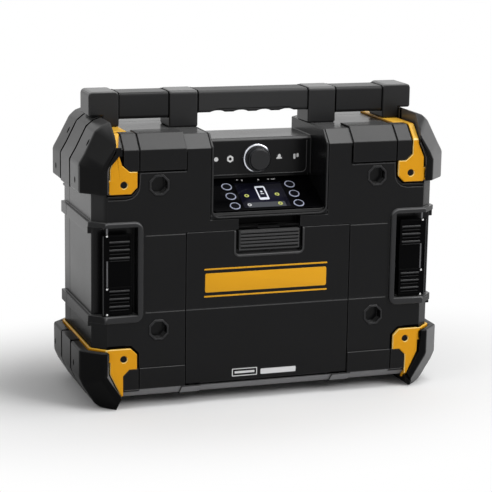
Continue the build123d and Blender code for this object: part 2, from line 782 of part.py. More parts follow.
skirt_back = panel_y - skirt_gap
skirt_front = skirt_back - skirt_height
with BuildPart() as knob_cap:
    rod((0, knob_z), skirt_radius, (skirt_front, skirt_back))
    rod((0, knob_z), knob_radius, (knob_front, skirt_front + overlap / 2))
    chamfer(knob_cap.edges().filter_by(GeomType.CIRCLE).group_by(Axis.Y)[0], cap_bevel)
    rod((0, knob_z), knob_radius - cap_wall, (skirt_front + overlap, panel_y), mode=Mode.SUBTRACT)
    rod((0, knob_z), shaft_radius + hub_wall, (knob_front + cap_wall, skirt_back))
    rod((0, knob_z), shaft_hole, (knob_front + cap_face, panel_y), mode=Mode.SUBTRACT)
knob_cap.part.label = "knob_cap"
export_step(knob_cap.part, "parts/knob_cap.step")

# ================================================================ door
box_border = 7.0         # from the slider out to the side of its box
box_side = 3.0
box_floor = 3.2
groove_half = 0.6
groove_cut = 1.0
room_round_barrel = 0.4
slot_low = slider_bottom - slider_travel - fit

with BuildPart() as door_panel:
    brick((-door_half, door_half), (front_y, front_y + door_plate), (door_bottom, door_top))
    foot = door_panel.edges().filter_by(Axis.X).group_by(Axis.Z)[0].sort_by(Axis.Y)[0]
    chamfer(foot, foot_bevel)
    # box for the latch slider
    outer = slider_half + box_border
    inner = outer - box_side
    box_back = recess_back + box_side - slider_clearance
    brick((-outer, outer), (front_y, box_back), (slot_low - box_floor, door_top))
    brick((-inner, inner), (-reach, recess_back), (slot_low, reach), mode=Mode.SUBTRACT)
    # groove across the middle
    groove_z = door_bottom + door_groove_rise
    brick((-reach, reach), (-reach, front_y + groove_cut), (groove_z - groove_half, groove_z + groove_half),
          mode=Mode.SUBTRACT)
    # room for the fixed hinge ears, then the knuckles that run between them
    for side in (-1, 1):
        ends = on_side(side, knuckle_x[0] - 2 * fit - ear_width, door_half + overlap)
        cross_rod((hinge_y, hinge_z), hinge_barrel + room_round_barrel, ends, mode=Mode.SUBTRACT)
        ends = on_side(side, knuckle_x[0], knuckle_x[1])
        cross_rod((hinge_y, hinge_z), hinge_barrel, ends)
        brick(ends, (front_y, hinge_y), (hinge_z - overlap, hinge_z + hinge_barrel))
        cross_rod((hinge_y, hinge_z), hinge_pin + shaft_fit, ends, mode=Mode.SUBTRACT)
door_panel.part.label = "door_panel"
export_step(door_panel.part, "parts/door_panel.step")

with BuildPart() as door_hinge_pins:
    for side in (-1, 1):
        ends = on_side(side, knuckle_x[0] - fit - ear_width, knuckle_x[1] + fit + ear_width)
        cross_rod((hinge_y, hinge_z), hinge_pin, ends)
door_hinge_pins.part.label = "door_hinge_pins"
export_step(door_hinge_pins.part, "parts/door_hinge_pins.step")

inner_panel_border = 12.0
inner_panel_foot = 19.1
inner_panel_height = 120.0
inner_panel_thickness = 3.0
inner_rib = 3.0
inner_rib_proud = 3.0
inner_rib_pitch = 30.0
gasket_width = 4.0
gasket_thickness = 2.2
inner_panel_half = door_half - inner_panel_border
inner_panel_low = door_bottom + inner_panel_foot
inner_panel_high = inner_panel_low + inner_panel_height
inner_panel_mid = (inner_panel_low + inner_panel_high) / 2

with BuildPart() as door_liner:
    brick((-inner_panel_half, inner_panel_half), (inner_front, inner_front + inner_panel_thickness),
          (inner_panel_low, inner_panel_high))
    face = inner_front + inner_panel_thickness
    for step in (-1, 0, 1):
        level = inner_panel_mid + step * inner_rib_pitch
        brick((-inner_panel_half + box_border, inner_panel_half - box_border), (face, face + inner_rib_proud),
              (level - inner_rib / 2, level + inner_rib / 2))
door_liner.part.label = "door_liner"
export_step(door_liner.part, "parts/door_liner.step")

with BuildPart() as door_gasket:
    with BuildSketch(facing_front(inner_front + gasket_thickness)):
        with Locations((0, inner_panel_mid)):
            Rectangle(2 * (inner_panel_half + gasket_width), inner_panel_height + 2 * gasket_width)
            Rectangle(2 * (inner_panel_half + fit), inner_panel_height + 2 * fit, mode=Mode.SUBTRACT)
    extrude(amount=gasket_thickness)
door_gasket.part.label = "door_gasket"
export_step(door_gasket.part, "parts/door_gasket.step")

latch_rib_pitch = 3.2
latch_rib = 1.6
latch_rib_proud = 1.6
latch_ribs = 5
latch_rib_foot = 6.5     # from the slider's foot up to the first rib
slider_proud = 0.5
spring_depth = 3.0       # behind the front of the case
spring_room = 2.6
spring_height = 10.0
spring_radius = 1.9
spring_wire = 0.35
spring_pitch = 2.6
spring_end = 0.6
spring_y = front_y + spring_depth
spring_top = slider_bottom + spring_height

with BuildPart() as door_latch:
    brick((-slider_half, slider_half), (front_y - slider_proud, slider_back), (slider_bottom, slider_top))
    for step in range(latch_ribs):
        level = slider_bottom + latch_rib_foot + latch_rib_pitch * step
        brick((-slider_half + overlap, slider_half - overlap), (front_y - latch_rib_proud, front_y),
              (level - latch_rib / 2, level + latch_rib / 2))
    brick((-tongue_half, tongue_half), (slider_back - tongue_depth, slider_back),
          (slider_top - overlap, door_top + door_gap + tongue_rise))
    with BuildSketch(Plane.XY.offset(slider_bottom)):
        with Locations((0, spring_y)):
            Circle(spring_room)
    extrude(amount=spring_height, mode=Mode.SUBTRACT)
door_latch.part.label = "door_latch"
export_step(door_latch.part, "parts/door_latch.step")

with BuildPart() as latch_spring:
    with BuildLine():
        coil = Helix(pitch=spring_pitch, height=spring_top - slot_low - 2 * spring_end, radius=spring_radius,
                     center=(0, spring_y, slot_low + spring_end))
    with BuildSketch(Plane(origin=coil @ 0, z_dir=coil % 0)):
        Circle(spring_wire)
    sweep()
latch_spring.part.label = "latch_spring"
export_step(latch_spring.part, "parts/latch_spring.step")

# ================================================================ compartment behind the door
flange = 3.0
flange_border = 6.0
with BuildPart() as compartment_liner:
    brick((-liner_half, liner_half), (inner_front + flange, liner_back), (liner_low, liner_high))
    brick((-door_half - flange_border, door_half + flange_border), (inner_front, inner_front + 2 * flange),
          (liner_low, door_top + flange_border))
    brick((-liner_half + liner_wall, liner_half - liner_wall), (-reach, liner_back - liner_wall),
          (liner_low + liner_wall, liner_high - liner_wall), mode=Mode.SUBTRACT)
    # the door shuts into the mouth, and its latch box and the finger recess need room
    brick(opening, (-reach, inner_front + flange), (0, door_top + door_gap), mode=Mode.SUBTRACT)
    brick((-outer - overlap, outer + overlap), (-reach, front_y + finger_depth + wall + overlap),
          (inner_panel_high, reach), mode=Mode.SUBTRACT)
compartment_liner.part.label = "compartment_liner"
export_step(compartment_liner.part, "parts/compartment_liner.step")

dock_half = 42.0
dock_depth = 22.0
dock_rise = 46.0
dock_height = 85.0
rail_wall = 9.0
rail_lip = 4.0
rail_depth = 8.0
rail_groove = 7.0
rail_end = 15.0
terminal_half = 14.0
terminal_height = 12.0
terminal_depth = 10.0
dock_back = liner_back - liner_wall
dock_low = liner_low + dock_rise
rail_top = dock_low + dock_height - rail_end
rail_back = dock_back - rail_depth

with BuildPart() as charger_dock:
    brick((-dock_half, dock_half), (dock_back - dock_depth, dock_back), (dock_low, dock_low + dock_height))
    mouth = dock_half - rail_wall
    brick((-mouth, mouth), (-reach, rail_back), (0, rail_top), mode=Mode.SUBTRACT)
    brick((-mouth - rail_lip, mouth + rail_lip), (rail_back - rail_groove, rail_back), (0, rail_top),
          mode=Mode.SUBTRACT)
    brick((-terminal_half, terminal_half), (rail_back - terminal_depth, rail_back + overlap),
          (rail_top - terminal_height, rail_top + overlap))
charger_dock.part.label = "charger_dock"
export_step(charger_dock.part, "parts/charger_dock.step")

# ================================================================ side latches
rib_pitch = 9.0
rib_gap = 3.0            # half the height of each hollow between the ribs
rib_foot = 6.5
rib_cut = 1.8
rib_border = 2.0
ribbed_height = 32.0     # of the ribbed part at the latch's foot
smooth_height = 30.0
smooth_cut = 1.6
hook_inset = 1.0
hook_width = 3.0
hook_rise = 40.0
hook_height = 14.0
hook_gap = 2.5
smooth_low = latch_low + ribbed_height
smooth_high = smooth_low + smooth_height

with BuildPart() as side_latch:
    brick((latch_inner, latch_outer), (front_y, front_y + latch_plate), (latch_low, latch_high))
    brick((latch_inner - overlap, latch_outer + overlap), (-reach, front_y + smooth_cut),
          (smooth_low, smooth_high), mode=Mode.SUBTRACT)
    for foot in (latch_low, smooth_high):
        for step in range(3):
            level = foot + rib_foot + rib_pitch * step
            brick((latch_inner + rib_border, latch_pivot_x - rib_border), (-reach, front_y + rib_cut),
                  (level - rib_gap, level + rib_gap), mode=Mode.SUBTRACT)
    # snap hook at the free end
    brick((latch_inner + hook_inset, latch_inner + hook_inset + hook_width),
          (front_y + latch_plate - overlap, pocket_back - hook_gap),
          (latch_low + hook_rise, latch_low + hook_rise + hook_height))
    with BuildSketch(Plane.XY.offset(latch_low)):
        with Locations((latch_pivot_x, latch_pivot_y)):
            Circle(latch_pin + shaft_fit)
    extrude(amount=latch_high - latch_low, mode=Mode.SUBTRACT)
side_latch.part.label = "side_latch_right"
export_step(side_latch.part, "parts/side_latch_right.step")

with BuildPart() as side_latch_left:
    add(mirror(side_latch.part, about=Plane.YZ))
side_latch_left.part.label = "side_latch_left"
export_step(side_latch_left.part, "parts/side_latch_left.step")

with BuildPart() as side_latch_pins:
    with BuildSketch(Plane.XY.offset(pocket_low - pin_seat)):
        with Locations((latch_pivot_x, latch_pivot_y), (-latch_pivot_x, latch_pivot_y)):
            Circle(latch_pin)
    extrude(amount=pocket_height + 2 * pin_seat)
side_latch_pins.part.label = "side_latch_pins"
export_step(side_latch_pins.part, "parts/side_latch_pins.step")

# ================================================================ corner brackets and bumpers
strip_width = 15.0
upper_strip_drop = 46.0  # from the top of the case down to the top of the upper strip
lower_strip_rise = 59.0
top_plate_inset = 50.0
top_leg_run = 30.0       # from the front of the case back to where the top plate widens
leg_drop = 18.0          # from the top of the case down to where the leg bends over
foot_width = 5.0         # of the lower leg, where it bends in under the case
foot_rise = 12.0
screw_head = 3.6
screw_head_height = 1.5


def corner_bracket(upper):
    """Plate on the front, and by mirror on the rear, joined by a strip along the side."""
    height = bracket_screw_heights[1 if upper else 0]
    leg = half_width - plate_leg
    leg_outer = half_width - plate_leg_outer
    leg_back = front_y + top_leg_run
    with BuildPart() as bracket:
        with BuildSketch(facing_front(front_y + bracket_seat)):
            add(bracket_plate(upper))
        extrude(amount=bracket_seat + bracket_proud)
        if upper:
            top_plate = (half_width - top_plate_inset, leg_outer)
            add(case_skin(bracket_proud, (leg, leg_outer), (-reach, leg_back), (body_top - leg_drop, reach)))
            add(case_skin(bracket_proud, top_plate, (leg_back, overlap), (body_top, reach)))
            strip = (body_top - upper_strip_drop - strip_width, body_top - upper_strip_drop)
        else:
            strip = (body_bottom + lower_strip_rise - strip_width, body_bottom + lower_strip_rise)
            add(case_skin(bracket_proud, (leg, leg + foot_width), (-reach, front_y + base_bevel),
                          (0, body_bottom + foot_rise)))
        side_edge = half_width - plate_outer - overlap
        add(case_skin(bracket_proud, (side_edge, reach), (-reach, overlap), strip))
        rod((bracket_screw_x, height), screw_head + fit, (-reach, front_y), mode=Mode.SUBTRACT)
        rod((bracket_screw_x, height), screw_radius + fit, (-reach, 0), mode=Mode.SUBTRACT)
        brick((0, reach), (-reach, 0), (0, reach), mode=Mode.INTERSECT)
        mirror(about=Plane.XZ)
    return bracket.part


def slant_end(start, finish, end):
    """Cuts a bumper's end on a slant, along the edge of its outline between two (x, z) places."""
    run, climb = finish[0] - start[0], finish[1] - start[1]
    out = (climb, -run)
    if out[0] * start[0] + out[1] * (start[1] - (body_bottom + body_top) / 2) < 0:
        out = (-climb, run)
    length = hypot(run, climb)
    way = 1 if end > 0 else -1
    face = Plane(origin=(start[0], end - way * bumper_corner, start[1]), x_dir=(run, 0, climb),
                 z_dir=(out[0] / length, way, out[1] / length))
    with Locations(face):
        Box(body_width, 5 * bumper_corner, 5 * bumper_corner, align=(Align.CENTER, Align.CENTER, Align.MIN),
            mode=Mode.SUBTRACT)


def bumper(outline, cap, edges, bracket):
    """Moulded bumper round one long corner, with slanting ends and cut by two grooves."""
    end = rear_y + bumper_proud
    with BuildPart() as block:
        with BuildSketch(facing_front(rear_y)):
            Polygon(*outline, align=None)
        extrude(amount=body_depth)
        with BuildSketch(facing_front(end)):
            Polygon(*cap, align=None)
        extrude(amount=2 * end)
        for start, finish in zip(edges, edges[1:]):
            for face in (-end, end):
                slant_end(start, finish, face)
        for y in (-groove_y, groove_y):
            with BuildSketch(facing_front(y + groove_width / 2)):
                Rectangle(reach * 2, reach * 2)
                with BuildSketch(mode=Mode.SUBTRACT):
                    Polygon(*outline, align=None)
                    offset(amount=-groove_depth, kind=Kind.INTERSECTION)
            extrude(amount=groove_width, mode=Mode.SUBTRACT)
        add(body_block(), mode=Mode.SUBTRACT)
        add(bracket, mode=Mode.SUBTRACT)
    return block.part


bumper_inner = plate_outer - bumper_gap
post_side = plate_leg_outer - bumper_gap
upper_outline = at_corner(True, [
    (bumper_inner, 62.0), (-bumper_side, 62.0), (-bumper_side, 30.0), (-7.0, 18.0), (5.0, -6.0),
    (13.0, -12.5), (20.0, -bumper_head), (post_side, -bumper_head), (post_side, 18.0), (bumper_inner, 34.0)])
bumper_skirt = [
    (bumper_inner, 57.0), (-bumper_side, 57.0), (-bumper_side, 24.0), (-9.5, 14.0), (4.0, -7.5),
    (10.0, 0.5 - body_bottom), (14.0, -body_bottom)]
lower_outline = at_corner(False, bumper_skirt + [(25.0, -body_bottom), (31.0, -0.1), (bumper_inner, 0.5)])
lower_cap = at_corner(False, bumper_skirt + [(19.5, -body_bottom), (25.5, -1.5), (29.6, 4.0),
                                             (bumper_inner, 31.0)])
for name, upper, outline, cap, edges in (
        ("upper", True, upper_outline, upper_outline, upper_outline[1:8]),
        ("lower", False, lower_outline, lower_cap, lower_outline[1:5])):
    right_bracket = corner_bracket(upper)
    right_bumper = bumper(outline, cap, edges, right_bracket)
    for side in ("right", "left"):
        for kind, solid in (("bracket", right_bracket), ("bumper", right_bumper)):
            with BuildPart() as corner_piece:
                add(solid if side == "right" else mirror(solid, about=Plane.YZ))
            corner_piece.part.label = f"{kind}_{name}_{side}"
            export_step(corner_piece.part, f"parts/{kind}_{name}_{side}.step")

with BuildPart() as bracket_screws:
    for place in bracket_screw_places:
        rod(place, screw_head, (front_y - screw_head_height, front_y))
        rod(place, screw_radius, (front_y - overlap, inner_front + boss_length - 2 * overlap))
    mirror(about=Plane.XZ)
bracket_screws.part.label = "bracket_screws"
export_step(bracket_screws.part, "parts/bracket_screws.step")

# ================================================================ shoulder and base blocks
shoulder_proud = 2.5
shoulder_run = 42.0      # from the front of the case back over its top
shoulder_height = 37.2
block_gap = 1.2
end_block_run = 29.7
base_proud = 2.0
base_low_rise = 10.5
base_high_rise = 35.0
block_near = door_half + door_gap + fit
block_split = half_width - plate_leg - 19.0
block_far = half_width - plate_leg - fit

shoulder_low = body_top - shoulder_height
base_low = body_bottom + base_low_rise
base_high = body_bottom + base_high_rise
for name, proud, depth, low, high, upper in (
        ("shoulder", shoulder_proud, shoulder_run, shoulder_low, reach, True),
        ("base_block", base_proud, base_bevel, base_low, base_high, False)):
    with BuildPart() as blocks:
        add(case_skin(proud, (block_near, block_far), (-reach, front_y + depth), (low, high)))
        brick((block_split, block_split + block_gap), (-reach, reach), (0, reach), mode=Mode.SUBTRACT)
        brick((block_split + block_gap, block_far), (front_y + end_block_run, reach), (0, reach),
              mode=Mode.SUBTRACT)
        with BuildSketch(facing_front(0)):
            add(bracket_plate(upper, fit))
        extrude(amount=reach, mode=Mode.SUBTRACT)
    for side in ("right", "left"):
        with BuildPart() as block_piece:
            add(blocks.part if side == "right" else mirror(blocks.part, about=Plane.YZ))
        block_piece.part.label = f"{name}_{side}"
        export_step(block_piece.part, f"parts/{name}_{side}.step")

# ================================================================ carry handle
edge_round = 4.0
post_bevel = 3.0
wave_pitch = 28.0
wave_radius = 19.5
wave_count = 4
wave_depth = 2.0         # how far each finger hollow reaches up into the grip
post_y = (handle_y - post_depth / 2, handle_y + post_depth / 2)
mid_post_y = (handle_y - mid_post_depth / 2, handle_y + mid_post_depth / 2)
bar_y = (handle_y - bar_depth / 2, handle_y + bar_depth / 2)
post_foot = body_top + bracket_proud
post_shelf = body_top + bumper_head + fit
tube_hole = tube_radius + fit
tube_half = end_post_x[1] - tube_end_inset

with BuildPart() as end_post:
    leg_side = half_width - plate_leg_outer - fit
    with BuildSketch(facing_front(post_y[1])):
        with BuildLine():
            Polyline((end_post_x[0], post_foot), (leg_side, post_foot), (leg_side, post_shelf),
                     (end_post_x[1], post_shelf), (end_post_x[1], post_top), (end_post_x[0], post_top),
                     close=True)
        make_face()
    extrude(amount=post_depth)
    chamfer(end_post.edges().filter_by(Axis.Y).group_by(Axis.Z)[-1], post_bevel)
    cross_rod((handle_y, tube_z), tube_hole, (0, tube_half + overlap), mode=Mode.SUBTRACT)

with BuildPart() as mid_post:
    brick(mid_post_x, mid_post_y, (body_top, post_top - mid_post_drop))
    chamfer(mid_post.edges().filter_by(Axis.X).group_by(Axis.Z)[-1], post_bevel)
    cross_rod((handle_y, tube_z), tube_hole, (0, reach), mode=Mode.SUBTRACT)

with BuildPart() as side_bar:
    brick((mid_post_x[1], end_post_x[0]), bar_y, (bar_bottom, bar_top))
    fillet(side_bar.edges().filter_by(Axis.X), edge_round)
    cross_rod((handle_y, tube_z), tube_hole, (0, reach), mode=Mode.SUBTRACT)

for name, piece in (("end_post", end_post), ("mid_post", mid_post), ("side_bar", side_bar)):
    for side in ("right", "left"):
        with BuildPart() as handle_piece:
            add(piece.part if side == "right" else mirror(piece.part, about=Plane.YZ))
        handle_piece.part.label = f"handle_{name}_{side}"
        export_step(handle_piece.part, f"parts/handle_{name}_{side}.step")

with BuildPart() as handle_grip:
    brick((-mid_post_x[0], mid_post_x[0]), bar_y, (grip_bottom, bar_top))
    fillet(handle_grip.edges().filter_by(Axis.X), edge_round)
    with BuildSketch(facing_front(bar_y[1] + overlap)):
        with Locations((0, grip_bottom + wave_depth - wave_radius)):
            with GridLocations(wave_pitch, 0, wave_count, 1):
                Circle(wave_radius)
    extrude(amount=bar_depth + 2 * overlap, mode=Mode.SUBTRACT)
    cross_rod((handle_y, tube_z), tube_hole, (-reach, reach), mode=Mode.SUBTRACT)
handle_grip.part.label = "handle_grip"
export_step(handle_grip.part, "parts/handle_grip.step")

with BuildPart() as handle_tube:
    cross_rod((handle_y, tube_z), tube_radius, (-tube_half, tube_half))
    cross_rod((handle_y, tube_z), tube_radius - tube_wall, (-reach, reach), mode=Mode.SUBTRACT)
handle_tube.part.label = "handle_tube"
export_step(handle_tube.part, "parts/handle_tube.step")

# ================================================================ speakers behind the rear grilles
frame_rim = 6.0
frame_thickness = 4.0
basket_radius = 17.0
basket_depth = 25.0
cone_radius = 13.0
cone_depth = 20.0
magnet_radius = 21.0
magnet_depth = 38.0
magnet_length = 14.0
grille_size = 92.0
grille_thickness = 2.0
grille_corner = 10.0
grille_border = 7.0
slot_width = 3.2
slot_pitch = 7.0
slot_count = 11

with BuildPart() as speaker:
    centre = (speaker_x, speaker_z)
    rod(centre, speaker_hole + frame_rim, (inner_rear - frame_thickness, inner_rear))
    rod(centre, magnet_radius, (inner_rear - magnet_depth, inner_rear - magnet_depth + magnet_length))
    with BuildSketch(facing_front(inner_rear - frame_thickness)):
        with Locations(centre):
            Circle(speaker_hole + overlap)
    with BuildSketch(facing_front(inner_rear - basket_depth)):
        with Locations(centre):
            Circle(basket_radius)
    loft()
    with BuildSketch(facing_front(inner_rear)):
        with Locations(centre):
            Circle(speaker_hole - overlap)
    with BuildSketch(facing_front(inner_rear - cone_depth)):
        with Locations(centre):
            Circle(cone_radius)
    loft(mode=Mode.SUBTRACT)

with BuildPart() as speaker_grille:
    with BuildSketch(facing_front(rear_y + grille_thickness)):
        with Locations((speaker_x, speaker_z)):
            RectangleRounded(grille_size, grille_size, grille_corner)
            with GridLocations(slot_pitch, 0, slot_count, 1):
                SlotOverall(grille_size - 2 * grille_border, slot_width, rotation=90, mode=Mode.SUBTRACT)
    extrude(amount=grille_thickness)

for name, piece in (("speaker", speaker), ("speaker_grille", speaker_grille)):
    for side in ("right", "left"):
        with BuildPart() as sound_piece:
            add(piece.part if side == "right" else mirror(piece.part, about=Plane.YZ))
        sound_piece.part.label = f"{name}_{side}"
        export_step(sound_piece.part, f"parts/{name}_{side}.step")

# ================================================================ electronics
heatsink_half = 40.0
heatsink_height = 50.0
heatsink_gap = 3.0
fin_pitch = 8.0
fin_gap = 4.0
fin_count = 9
fin_depth = 14.0
supply_inset = 34.0
supply_width = 48.0
supply_depth = 70.0
supply_height = 46.5
cover_border = 8.0
cover_height = 10.0
inlet_depth = 14.0
inlet_rim = 4.0
inlet_rim_thickness = 2.0
blade_half = 1.0
blade_half_height = 2.0
blade_x = 5.0
blade_length = 11.0

with BuildPart() as main_board:
    brick((-board_half, board_half), (board_y, board_y + board_thickness), (board_low, board_high))
main_board.part.label = "main_board"
export_step(main_board.part, "parts/main_board.step")

with BuildPart() as amplifier_heatsink:
    middle = (board_low + board_high) / 2
    front = liner_back + heatsink_gap
    brick((-heatsink_half, heatsink_half), (front, board_y),
          (middle - heatsink_height / 2, middle + heatsink_height / 2))
    with GridLocations(fin_pitch, 0, fin_count, 1):
        with Locations((0, front + fin_depth / 2, middle)):
            Box(fin_gap, fin_depth, heatsink_height + 2 * overlap, mode=Mode.SUBTRACT)
amplifier_heatsink.part.label = "amplifier_heatsink"
export_step(amplifier_heatsink.part, "parts/amplifier_heatsink.step")

with BuildPart() as power_supply:
    right = half_width - supply_inset
    x = (right - supply_width, right)
    y = (front_y / 2, front_y / 2 + supply_depth)
    top = body_bottom + wall + supply_height
    brick(x, y, (body_bottom + wall, top))
    brick((x[0] + cover_border, x[1] - cover_border), (y[0] + cover_border, y[1] - cover_border),
          (top - overlap, top + cover_height))
power_supply.part.label = "power_supply"
export_step(power_supply.part, "parts/power_supply.step")

with BuildPart() as power_inlet:
    floor = rear_y - inlet_depth
    for border, y, mode in ((-fit, (inner_rear - inlet_depth, rear_y), Mode.ADD),
                            (inlet_rim, (rear_y, rear_y + inlet_rim_thickness), Mode.ADD),
                            (-inlet_rim, (floor, reach), Mode.SUBTRACT)):
        brick((inlet_x - inlet_half_width - border, inlet_x + inlet_half_width + border), y,
              (inlet_z - inlet_half_height - border, inlet_z + inlet_half_height + border), mode=mode)
    for x in (inlet_x - blade_x, inlet_x + blade_x):
        brick((x - blade_half, x + blade_half), (floor - overlap, floor + blade_length),
              (inlet_z - blade_half_height, inlet_z + blade_half_height))
power_inlet.part.label = "power_inlet"
export_step(power_inlet.part, "parts/power_inlet.step")
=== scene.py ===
"""Looks of the jobsite radio: its finishes and finely shaped pieces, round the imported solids."""
import json
import math

import bmesh
import bpy
from mathutils import Matrix, Vector


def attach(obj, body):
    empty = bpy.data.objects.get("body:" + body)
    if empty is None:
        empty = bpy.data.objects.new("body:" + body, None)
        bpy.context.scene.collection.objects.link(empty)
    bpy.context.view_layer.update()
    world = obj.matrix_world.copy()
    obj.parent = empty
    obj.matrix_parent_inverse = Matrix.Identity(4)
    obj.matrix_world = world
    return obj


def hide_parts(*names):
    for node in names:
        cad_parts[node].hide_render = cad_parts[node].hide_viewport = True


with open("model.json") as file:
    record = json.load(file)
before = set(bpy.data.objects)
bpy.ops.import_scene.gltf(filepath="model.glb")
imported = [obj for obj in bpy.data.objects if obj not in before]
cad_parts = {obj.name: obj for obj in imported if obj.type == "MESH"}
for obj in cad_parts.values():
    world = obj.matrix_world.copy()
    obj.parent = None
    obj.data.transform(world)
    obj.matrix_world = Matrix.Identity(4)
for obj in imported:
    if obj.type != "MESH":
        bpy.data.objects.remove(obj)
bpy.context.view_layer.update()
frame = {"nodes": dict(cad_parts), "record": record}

# ---------------------------------------------------------------- camera
# A long lens at table height, a little to the left of the radio and looking slightly down on it,
# so that the front, the left side and the top all show.
MM = 0.001  # one millimetre, in metres
across_x, up_z = Vector((1, 0, 0)), Vector((0, 0, 1))
lens_yaw, lens_pitch, lens_roll = (math.radians(angle) for angle in (18.852, -12.337, 0.930))
lens_place = Vector((-661.16, -1934.47, 609.37)) * MM
sensor_width = 36.0
picture_pixels, focal_pixels = 492, 1774.36
ahead = Vector((math.sin(lens_yaw) * math.cos(lens_pitch),
                math.cos(lens_yaw) * math.cos(lens_pitch), math.sin(lens_pitch)))
level = ahead.cross(up_z).normalized()
upright = level.cross(ahead)
lens_right = level * math.cos(lens_roll) + upright * math.sin(lens_roll)
lens_up = upright * math.cos(lens_roll) - level * math.sin(lens_roll)
camera = bpy.data.objects.new("studio_camera", bpy.data.cameras.new("studio_camera"))
camera.data.sensor_width = sensor_width
camera.data.lens = focal_pixels * sensor_width / picture_pixels
camera.matrix_world = Matrix((lens_right, lens_up, -ahead)).transposed().to_4x4()
camera.matrix_world.translation = lens_place
bpy.context.scene.collection.objects.link(camera)
bpy.context.scene.camera = camera
bpy.context.scene.view_settings.view_transform = "Standard"


# ---------------------------------------------------------------- studio
# A wide matt floor sheet under a white tent: the tent is the world, white wherever it is seen or
# mirrored, and three soft boxes give the light its direction.
class Field:
    """One output of a shader node, on which arithmetic adds Math nodes."""

    def __init__(self, shading, socket):
        self.shading, self.socket = shading, socket

    def reckon(self, operation, *values):
        return self.shading.add("ShaderNodeMath", {"operation": operation},
                                dict(enumerate(values)))

    def __add__(self, other):
        return self.reckon("ADD", self, other)

    def __radd__(self, other):
        return self.reckon("ADD", other, self)

    def __sub__(self, other):
        return self.reckon("SUBTRACT", self, other)

    def __rsub__(self, other):
        return self.reckon("SUBTRACT", other, self)

    def __mul__(self, other):
        return self.reckon("MULTIPLY", self, other)

    def __rmul__(self, other):
        return self.reckon("MULTIPLY", other, self)

    def __pow__(self, other):
        return self.reckon("POWER", self, other)

    def __abs__(self):
        return self.reckon("ABSOLUTE", self)

    def highest(self, other):
        return self.reckon("MAXIMUM", self, other)

    def lowest(self, other):
        return self.reckon("MINIMUM", self, other)

    def ramp(self, low, high):
        """0 where the value is low, 1 where it is high, and smooth between them."""
        return self.shading.add("ShaderNodeMapRange", {"interpolation_type": "SMOOTHSTEP"}, {
            "Value": self, "From Min": low, "From Max": high})

    def past(self, low, high):
        """The same ramp for a place, with both ends in millimetres."""
        return self.ramp(low * MM, high * MM)

    def within(self, middle, half, blur=0.3):
        """1 where a place lies within half of the middle, in millimetres."""
        return abs(self - middle * MM).past(half + blur, half - blur)


class Shading:
    """A node tree being filled: every node but arithmetic comes from add()."""

    def __init__(self, owner):
        owner.use_nodes = True
        self.owner, self.tree = owner, owner.node_tree
        self.tree.nodes.clear()

    def add(self, kind, settings=None, sockets=None, output=0):
        node = self.tree.nodes.new(kind)
        for key, value in (settings or {}).items():
            setattr(node, key, value)
        for key, value in (sockets or {}).items():
            if isinstance(value, Field):
                self.tree.links.new(value.socket, node.inputs[key])
            else:
                node.inputs[key].default_value = value
        return Field(self, node.outputs[output]) if node.outputs else None

    def blend(self, mask, first, second):
        """Colour that goes from the first to the second as the mask goes from 0 to 1."""
        first, second = (shade if isinstance(shade, Field) else (*shade, 1)
                         for shade in (first, second))
        return self.add("ShaderNodeMix", {"data_type": "RGBA"}, {0: mask, 6: first, 7: second}, 2)


def looked_at(shading):
    """1 for what is seen straight, in a mirror or through glass, 0 for what only gives light."""
    seen, mirrored, looked_through = (shading.add("ShaderNodeLightPath", output=ray) for ray in (
        "Is Camera Ray", "Is Glossy Ray", "Is Transmission Ray"))
    return (seen + mirrored + looked_through).lowest(1.0)


tent = Shading(bpy.data.worlds.new("white_tent"))
bpy.context.scene.world = tent.owner
tent_light = 0.42
showing = looked_at(tent)
tent.add("ShaderNodeOutputWorld", sockets={0: tent.add("ShaderNodeBackground", sockets={
    "Color": (1, 1, 1, 1), "Strength": showing + (1 - showing) * tent_light})})

floor_sheet = Shading(bpy.data.materials.new("floor_sheet"))
on_floor = floor_sheet.add("ShaderNodeTexCoord", output="Object")
soft_patches = floor_sheet.add("ShaderNodeTexNoise", sockets={
    "Vector": on_floor, "Scale": 3.0, "Detail": 4.0})
paper = floor_sheet.add("ShaderNodeBsdfPrincipled", sockets={
    "Base Color": floor_sheet.blend(soft_patches, (0.86, 0.86, 0.86), (0.89, 0.89, 0.89)),
    "Roughness": 0.8, "Specular IOR Level": 0.1})
depth_stretch = 1.7
stretched = floor_sheet.add("ShaderNodeVectorMath", {"operation": "MULTIPLY"}, {
    0: on_floor, 1: (1.0, depth_stretch, 1.0)})
from_middle = floor_sheet.add("ShaderNodeVectorMath", {"operation": "LENGTH"}, {
    0: stretched}, "Value")
shadow_reach, white_reach = 0.26, 0.62
floor_sheet.add("ShaderNodeOutputMaterial", sockets={
    0: floor_sheet.add("ShaderNodeMixShader", sockets={
        0: from_middle.ramp(shadow_reach, white_reach) * looked_at(floor_sheet), 1: paper,
        2: floor_sheet.add("ShaderNodeEmission", sockets={
            "Color": (1, 1, 1, 1), "Strength": 1.0})})})
floor_mesh = bpy.data.meshes.new("studio_floor")
floor_half = 14.0
floor_mesh.from_pydata([(-floor_half, -floor_half, 0), (floor_half, -floor_half, 0),
                        (floor_half, floor_half, 0), (-floor_half, floor_half, 0)],
                       [], [(0, 1, 2, 3)])
floor_mesh.materials.append(floor_sheet.owner)
studio_floor = bpy.data.objects.new("studio_floor", floor_mesh)
bpy.context.scene.collection.objects.link(studio_floor)

